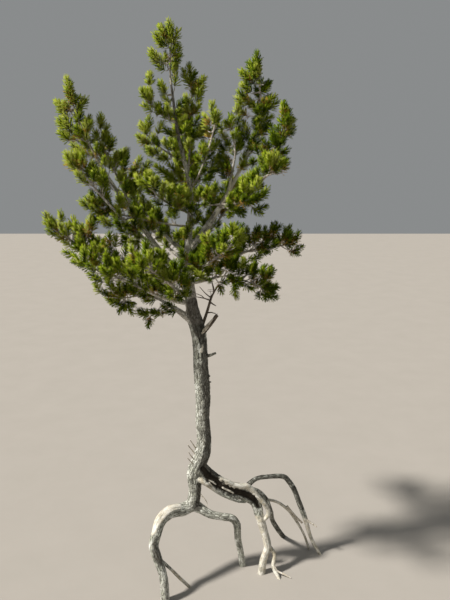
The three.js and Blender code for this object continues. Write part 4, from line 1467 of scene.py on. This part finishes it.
def shoot_wood(foot, frame, size, length, bend, thick):
    """The wooden axis of one shoot as rows of x, y, z and radius."""
    rows = []
    for share in (0.0, 0.35, 0.7, 1.0):
        local = np.array([bend * length * share**2, 0, length * share]) * size
        rows.append((*(foot + frame @ local), lerp(thick, thick * SHOOT_TAPER, share)))
    return rows


def shade_of(place, luck):
    """Most needles are light high up and on the left, as painted light, and deep low on the right, as
    painted shade.
    """
    rightward, upward = place[0] - SHADE_PLACE[0], place[2] - SHADE_PLACE[1]
    depth = luck + (DEEPER_RIGHTWARD * rightward - DEEPER_DOWNWARD * upward) * SHADE_PULL
    if depth < FRESH_AND_LIT_BELOW:
        return "fresh_and_lit"
    return "green" if depth < GREEN_BELOW else "deep"


def add_spray(sprays, rng, shoot, shade):
    """One shoot with its own bend, axes and wood."""
    frame = shoot_frame(shoot.toward, rng.normal(0, 0.6))
    bends, length, thick = SIDE_BENDS, SIDE_LENGTH, SIDE_THICK
    kind = int(rng.integers(BRUSH_KINDS))
    if shoot.is_leader:
        bends, length, thick = LEADER_BENDS, LEADER_LENGTH, LEADER_THICK
    wood = shoot_wood(shoot.foot, frame, shoot.size, length, bends[kind], thick)
    kind += 0 if shoot.is_leader else BRUSH_KINDS
    sprays.append(Spray(shoot.foot, frame, shoot.size, kind, shade, wood))


def grow_sprays(crown):
    """Every shoot, the leaders with two side shoots of their own, each spray of one shade."""
    rng = np.random.default_rng(5)
    sprays = []
    for shoot in crown.shoots:
        shade = shade_of(crown.tip_of(shoot), rng.uniform())
        add_spray(sprays, rng, shoot, shade)
        if not shoot.is_leader:
            continue
        start_turn = rng.uniform(0, 2 * math.pi)
        for k, along in enumerate(LEADER_SIDES):
            foot = shoot.foot + shoot.toward * LEADER_LENGTH * shoot.size * along
            turn, lean = start_turn + k * LEADER_SIDE_TURN, rng.uniform(*LEADER_SIDE_LEANS)
            toward = leaning(shoot.toward, turn, lean, LEADER_SIDE_LIFT)
            size = shoot.size * rng.uniform(*LEADER_SIDE_SIZES)
            side = Shoot(foot, toward, size, shoot.mass, False)
            add_spray(sprays, rng, side, shade)
    return sprays


def split_brush(rng, brush):
    """A brush's bundles in three lots, for a darker shade, its own and a lighter one."""
    corners, triangles = brush
    bundles = corners.reshape(-1, NEEDLES_IN_BUNDLE * 4, 3)
    lots = rng.choice(3, len(bundles), p=BUNDLE_SHARES)
    parts = []
    for lot in range(3):
        places = bundles[lots == lot].reshape(-1, 3)
        parts.append((places, triangles[: len(places)]))
    return parts


def needle_brushes():
    rng = np.random.default_rng(17)
    brushes = [needle_brush(rng, LEADER_LENGTH, LEADER_BUNDLES, bend) for bend in LEADER_BENDS]
    brushes += [needle_brush(rng, SIDE_LENGTH, SIDE_BUNDLES, bend) for bend in SIDE_BENDS]
    return [split_brush(rng, brush) for brush in brushes], old_brush(rng, OLD_NEEDLES)


def place_brushes(name, pairs):
    """One piece of needles: pairs of a spray and the brush that stands on it."""
    places, triangles, total = [], [], 0
    for spray, (corners, faces) in pairs:
        places.append(corners @ (spray.frame.T * spray.size) + spray.foot)
        triangles.append(faces + total)
        total += len(corners)
    return triangle_piece(name, np.concatenate(places), np.concatenate(triangles))


def make_needles(sprays):
    """The needles in pieces by their shade, each small enough for the export."""
    brushes, old = needle_brushes()
    by_shade = {shade: [] for shade in SHADES}
    rng = np.random.default_rng(41)
    for spray in sprays:
        rung = SHADE_LADDER.index(spray.shade)
        for step, part in zip((-1, 0, 1), brushes[spray.kind]):
            by_shade[SHADE_LADDER[min(max(rung + step, 0), 2)]].append((spray, part))
        if rng.uniform() < OLD_SHARE:
            by_shade["rusty"].append((spray, old))
    pieces = []
    for shade, pairs in by_shade.items():
        faces = sum(len(brush[1]) for _, brush in pairs)
        parts = math.ceil(faces / MOST_TRIANGLES)
        for part in range(parts):
            piece = place_brushes(f"needles_{shade}_{part + 1}", pairs[part::parts])
            pieces.append((shade, piece))
    return pieces


# Materials


class Nodes:
    """A material's or a group's nodes, with short ways to add and join them."""

    def __init__(self, tree):
        self.tree = tree

    def add(self, kind, inputs=None, **settings):
        made = self.tree.nodes.new(kind)
        for name, value in settings.items():
            setattr(made, name, value)
        for name, value in (inputs or {}).items():
            if isinstance(value, bpy.types.NodeSocket):
                self.join(value, made.inputs[name])
            else:
                made.inputs[name].default_value = value
        return made

    def join(self, output, socket):
        self.tree.links.new(output, socket)

    def math(self, operation, first, second=0.0):
        return self.add("ShaderNodeMath", {0: first, 1: second}, operation=operation).outputs[0]

    def scaled(self, place, scale):
        made = self.add("ShaderNodeVectorMath", {0: place, 1: scale}, operation="MULTIPLY")
        return made.outputs[0]

    def mix(self, share, first, second, blend="MIX"):
        inputs = {0: share, 6: first, 7: second}
        return self.add("ShaderNodeMix", inputs, data_type="RGBA", blend_type=blend).outputs[2]

    def range(self, value, low, high, to_low=0.0, to_high=1.0):
        inputs = {"Value": value, "From Min": low, "From Max": high, "To Min": to_low, "To Max": to_high}
        return self.add("ShaderNodeMapRange", inputs, interpolation_type="SMOOTHSTEP").outputs[0]

    def noise(self, place, scale, detail=4.0, roughness=0.6):
        inputs = {"Vector": place, "Scale": scale, "Detail": detail, "Roughness": roughness}
        return self.add("ShaderNodeTexNoise", inputs).outputs["Fac"]

    def place(self):
        return self.add("ShaderNodeTexCoord").outputs["Object"]

    def attribute(self, name, output):
        return self.add("ShaderNodeAttribute", attribute_name=name).outputs[output]

    def use(self, group, inputs):
        return self.add("ShaderNodeGroup", inputs, node_tree=group)


def new_group(name, inputs, outputs):
    group = bpy.data.node_groups.new(name, "ShaderNodeTree")
    for socket, kind in inputs:
        group.interface.new_socket(socket, in_out="INPUT", socket_type=kind)
    for socket, kind in outputs:
        group.interface.new_socket(socket, in_out="OUTPUT", socket_type=kind)
    nodes = Nodes(group)
    return group, nodes, nodes.add("NodeGroupInput").outputs, nodes.add("NodeGroupOutput").inputs


def new_material(name, roughness, specular):
    material = bpy.data.materials.new(name)
    material.use_nodes = True
    shader = material.node_tree.nodes["Principled BSDF"]
    shader.inputs["Roughness"].default_value = roughness
    shader.inputs["Specular IOR Level"].default_value = specular
    return material, Nodes(material.node_tree), shader


def fissures_group():
    """Long plates with cracks between them, on straightened grain."""
    group, nodes, given, put = new_group(
        "fissures",
        [("Grain", "NodeSocketVector"), ("Plate Size", "NodeSocketFloat")],
        [("Crack", "NodeSocketFloat"), ("Plate", "NodeSocketFloat"), ("Height", "NodeSocketFloat")],
    )
    long_way = nodes.scaled(given["Grain"], (1.0, 1.0, 0.26))
    drift = nodes.add("ShaderNodeTexNoise", {"Vector": long_way, "Scale": 32.0, "Detail": 3.0})
    shift = nodes.scaled(drift.outputs["Color"], (0.016, 0.016, 0.016))
    bent = nodes.add("ShaderNodeVectorMath", {0: long_way, 1: shift}, operation="ADD").outputs[0]
    cells = nodes.math("DIVIDE", 1.0, given["Plate Size"])
    edge = nodes.add("ShaderNodeTexVoronoi", {"Vector": bent, "Scale": cells}, feature="DISTANCE_TO_EDGE")
    tone = nodes.add("ShaderNodeTexVoronoi", {"Vector": bent, "Scale": cells}, feature="F1")
    crack = nodes.range(edge.outputs["Distance"], 0.12, 0.0)
    fine = nodes.noise(long_way, 160.0, 3.0)
    rise = nodes.math("MULTIPLY", crack, -1.0)
    nodes.join(crack, put["Crack"])
    nodes.join(tone.outputs["Color"], put["Plate"])
    nodes.join(nodes.math("ADD", rise, nodes.math("MULTIPLY", fine, 0.6)), put["Height"])
    return group


def mottle_group():
    """A colour made lighter and darker in soft patches and small flecks."""
    group, nodes, given, put = new_group(
        "mottle",
        [("Color", "NodeSocketColor"), ("Place", "NodeSocketVector"), ("Amount", "NodeSocketFloat")],
        [("Color", "NodeSocketColor")],
    )
    patches = nodes.noise(given["Place"], 11.0, 5.0, 0.65)
    flecks = nodes.noise(given["Place"], 90.0, 2.0)
    both = nodes.math("ADD", nodes.math("MULTIPLY", patches, 0.7), nodes.math("MULTIPLY", flecks, 0.3))
    light = nodes.range(both, 0.34, 0.66)
    lightened = nodes.mix(given["Amount"], given["Color"], WHITE, "OVERLAY")
    darkened = nodes.mix(given["Amount"], given["Color"], BLACK, "OVERLAY")
    nodes.join(nodes.mix(light, darkened, lightened), put["Color"])
    return group


def bark_material(name, colors, plate_size, fissures, mottle):
    """Grey plates parted by dark cracks, with bleached wood, and dark hollows and stains, much of their
    dark painted shade, where they are marked.
    """
    pale, mid, crack_color, bleached, hollow = colors
    material, nodes, shader = new_material(name, 0.9, 0.2)
    grain = nodes.attribute("grain", "Vector")
    bare = nodes.attribute("bare", "Fac")
    dark = nodes.attribute("dark", "Fac")
    plate = nodes.use(fissures, {"Grain": grain, "Plate Size": plate_size}).outputs
    streaks = nodes.noise(nodes.scaled(grain, (1.0, 1.0, 0.10)), 55.0, 4.0)
    half_plate, half_streaks = (nodes.math("MULTIPLY", value, 0.5) for value in (plate["Plate"], streaks))
    tone = nodes.math("ADD", half_plate, half_streaks)
    bark = nodes.mix(nodes.range(tone, 0.32, 0.62), mid, pale)
    bark = nodes.mix(nodes.math("MULTIPLY", plate["Crack"], 0.75), bark, crack_color)
    fibre = nodes.noise(nodes.scaled(grain, (1.0, 1.0, 0.06)), 120.0, 3.0)
    wood_dark = tuple(0.45 * channel for channel in bleached[:3]) + (1.0,)
    wood = nodes.mix(nodes.range(fibre, 0.30, 0.55), wood_dark, bleached)
    color = nodes.mix(bare, bark, wood)
    # The hollows' and stains' dark: partly the wood's own, much of it painted shade
    color = nodes.mix(dark, color, hollow)
    color = nodes.use(mottle, {"Color": color, "Place": nodes.place(), "Amount": 0.45}).outputs["Color"]
    height = nodes.mix(bare, plate["Height"], nodes.math("MULTIPLY", fibre, 0.8))
    bump = nodes.add("ShaderNodeBump", {"Height": height, "Strength": 0.8, "Distance": 0.004})
    nodes.join(color, shader.inputs["Base Color"])
    nodes.join(bump.outputs["Normal"], shader.inputs["Normal"])
    return material


def thin_wood_material(name, colors, mottle, scale):
    """Twigs and dry wood: short streaks of two tones with a scaly bump."""
    light, dark = colors
    material, nodes, shader = new_material(name, 0.85, 0.2)
    place = nodes.place()
    scales = nodes.noise(place, scale, 4.0, 0.7)
    color = nodes.mix(nodes.range(scales, 0.36, 0.62), dark, light)
    color = nodes.use(mottle, {"Color": color, "Place": place, "Amount": 0.4}).outputs["Color"]
    bump = nodes.add("ShaderNodeBump", {"Height": scales, "Strength": 0.7, "Distance": 0.003})
    nodes.join(color, shader.inputs["Base Color"])
    nodes.join(bump.outputs["Normal"], shader.inputs["Normal"])
    return material


def needle_material(name, color, tip_color):
    """One shade of needle, a little lighter in some sprays than in others."""
    material, nodes, shader = new_material(name, 0.7, 0.06)
    patches = nodes.noise(nodes.place(), 14.0, 3.0)
    tinted = nodes.mix(nodes.range(patches, 0.35, 0.65), color, tip_color)
    nodes.join(tinted, shader.inputs["Base Color"])
    return material


def floor_material():
    material, nodes, shader = new_material("pale_floor", 0.9, 0.2)
    soft = nodes.noise(nodes.place(), 1.5, 3.0)
    color = nodes.mix(soft, *FLOOR_COLORS)
    nodes.join(color, shader.inputs["Base Color"])
    return material


def dress(piece, material, nodes_replaced):
    piece.data.materials.clear()
    piece.data.materials.append(material)
    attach(piece, "root")
    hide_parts(*nodes_replaced)


def make_view():
    camera_data = bpy.data.cameras.new("camera")
    camera_data.lens = CAMERA_LENS
    camera = bpy.data.objects.new("camera", camera_data)
    camera.location = CAMERA_PLACE
    camera.rotation_euler = (CAMERA_TILT, 0.0, 0.0)
    bpy.context.collection.objects.link(camera)
    bpy.context.scene.camera = camera
    bpy.context.scene.view_settings.view_transform = "Standard"


def make_floor():
    bpy.ops.object.select_all(action="DESELECT")
    bpy.ops.mesh.primitive_plane_add(size=FLOOR_SIZE)
    floor = bpy.context.object
    floor.name = "floor"
    floor.data.materials.append(floor_material())


def make_light():
    sun_data = bpy.data.lights.new("key", "SUN")
    sun_data.energy = SUN_STRENGTH
    sun_data.angle = math.radians(SUN_SOFTNESS)
    sun_data.color = SUN_COLOR
    sun = bpy.data.objects.new("key", sun_data)
    sun.rotation_euler = Vector(SUN_FROM).to_track_quat("Z", "Y").to_euler()
    bpy.context.collection.objects.link(sun)
    world = bpy.data.worlds.new("sky")
    world.use_nodes = True
    world.node_tree.nodes["Background"].inputs["Color"].default_value = SKY_COLOR
    world.node_tree.nodes["Background"].inputs["Strength"].default_value = SKY_STRENGTH
    bpy.context.scene.world = world


def build():
    make_view()
    limbs = grow_limbs()
    crown = Crown(limbs)
    fine = FineCrown(limbs, crown)
    sprays = grow_sprays(fine)
    fissures, mottle = fissures_group(), mottle_group()
    bark = bark_material("grey_bark", BARK_COLORS, BARK_PLATE, fissures, mottle)
    # The boughs' bark is a lighter copy of the trunk's, as painted light
    bough_bark = bark_material("bough_bark", BOUGH_COLORS, BOUGH_PLATE, fissures, mottle)
    twig_bark = thin_wood_material("twig_bark", TWIG_COLORS, mottle, TWIG_SCALE)
    # The dead wood's material is darkened as painted shade.
    dry_wood_and_painted_shade = thin_wood_material("dry_wood_and_painted_shade", DRY_WOOD_AND_SHADE_COLORS, mottle, DEAD_SCALE)
    torn_wood = thin_wood_material("torn_wood", TORN_WOOD_COLORS, mottle, DEAD_SCALE)

    root_nodes = list(ROOTS)
    live_boughs = [f"bough_{bough[0]}" for bough in BOUGHS if bough[0] not in DEAD_BOUGHS]
    needle_nodes = [f"needles_{mass[0]}" for mass in MASSES if mass[0] != BARE_MASS]
    roots, bole, crown_limbs = make_wood(limbs)
    dress(roots, bark, ["trunk", *root_nodes])
    dress(bole, bark, ["trunk"])
    dress(crown_limbs, bough_bark, ["trunk", *live_boughs])
    twigs, shoots = make_twigs(fine, crown.stems, sprays)
    dress(twigs, twig_bark, needle_nodes)
    dress(shoots, twig_bark, needle_nodes)
    dead, stub = make_dead_wood(limbs, crown)
    dress(dead, dry_wood_and_painted_shade, ["bough_dead", f"twigs_{BARE_MASS}"])
    dress(stub, dry_wood_and_painted_shade, ["bough_stub"])
    splinters, rootlets = make_details()
    dress(splinters, torn_wood, ["trunk"])
    dress(rootlets, torn_wood, root_nodes)
    for piece in (roots, bole, crown_limbs, twigs, dead, stub, splinters, rootlets):
        smooth_shading(piece, SMOOTH_UP_TO)
    materials = {shade: needle_material(f"{shade}_needles", *colors) for shade, colors in SHADES.items()}
    for shade, piece in make_needles(sprays):
        dress(piece, materials[shade], needle_nodes)
    make_floor()
    make_light()


build()
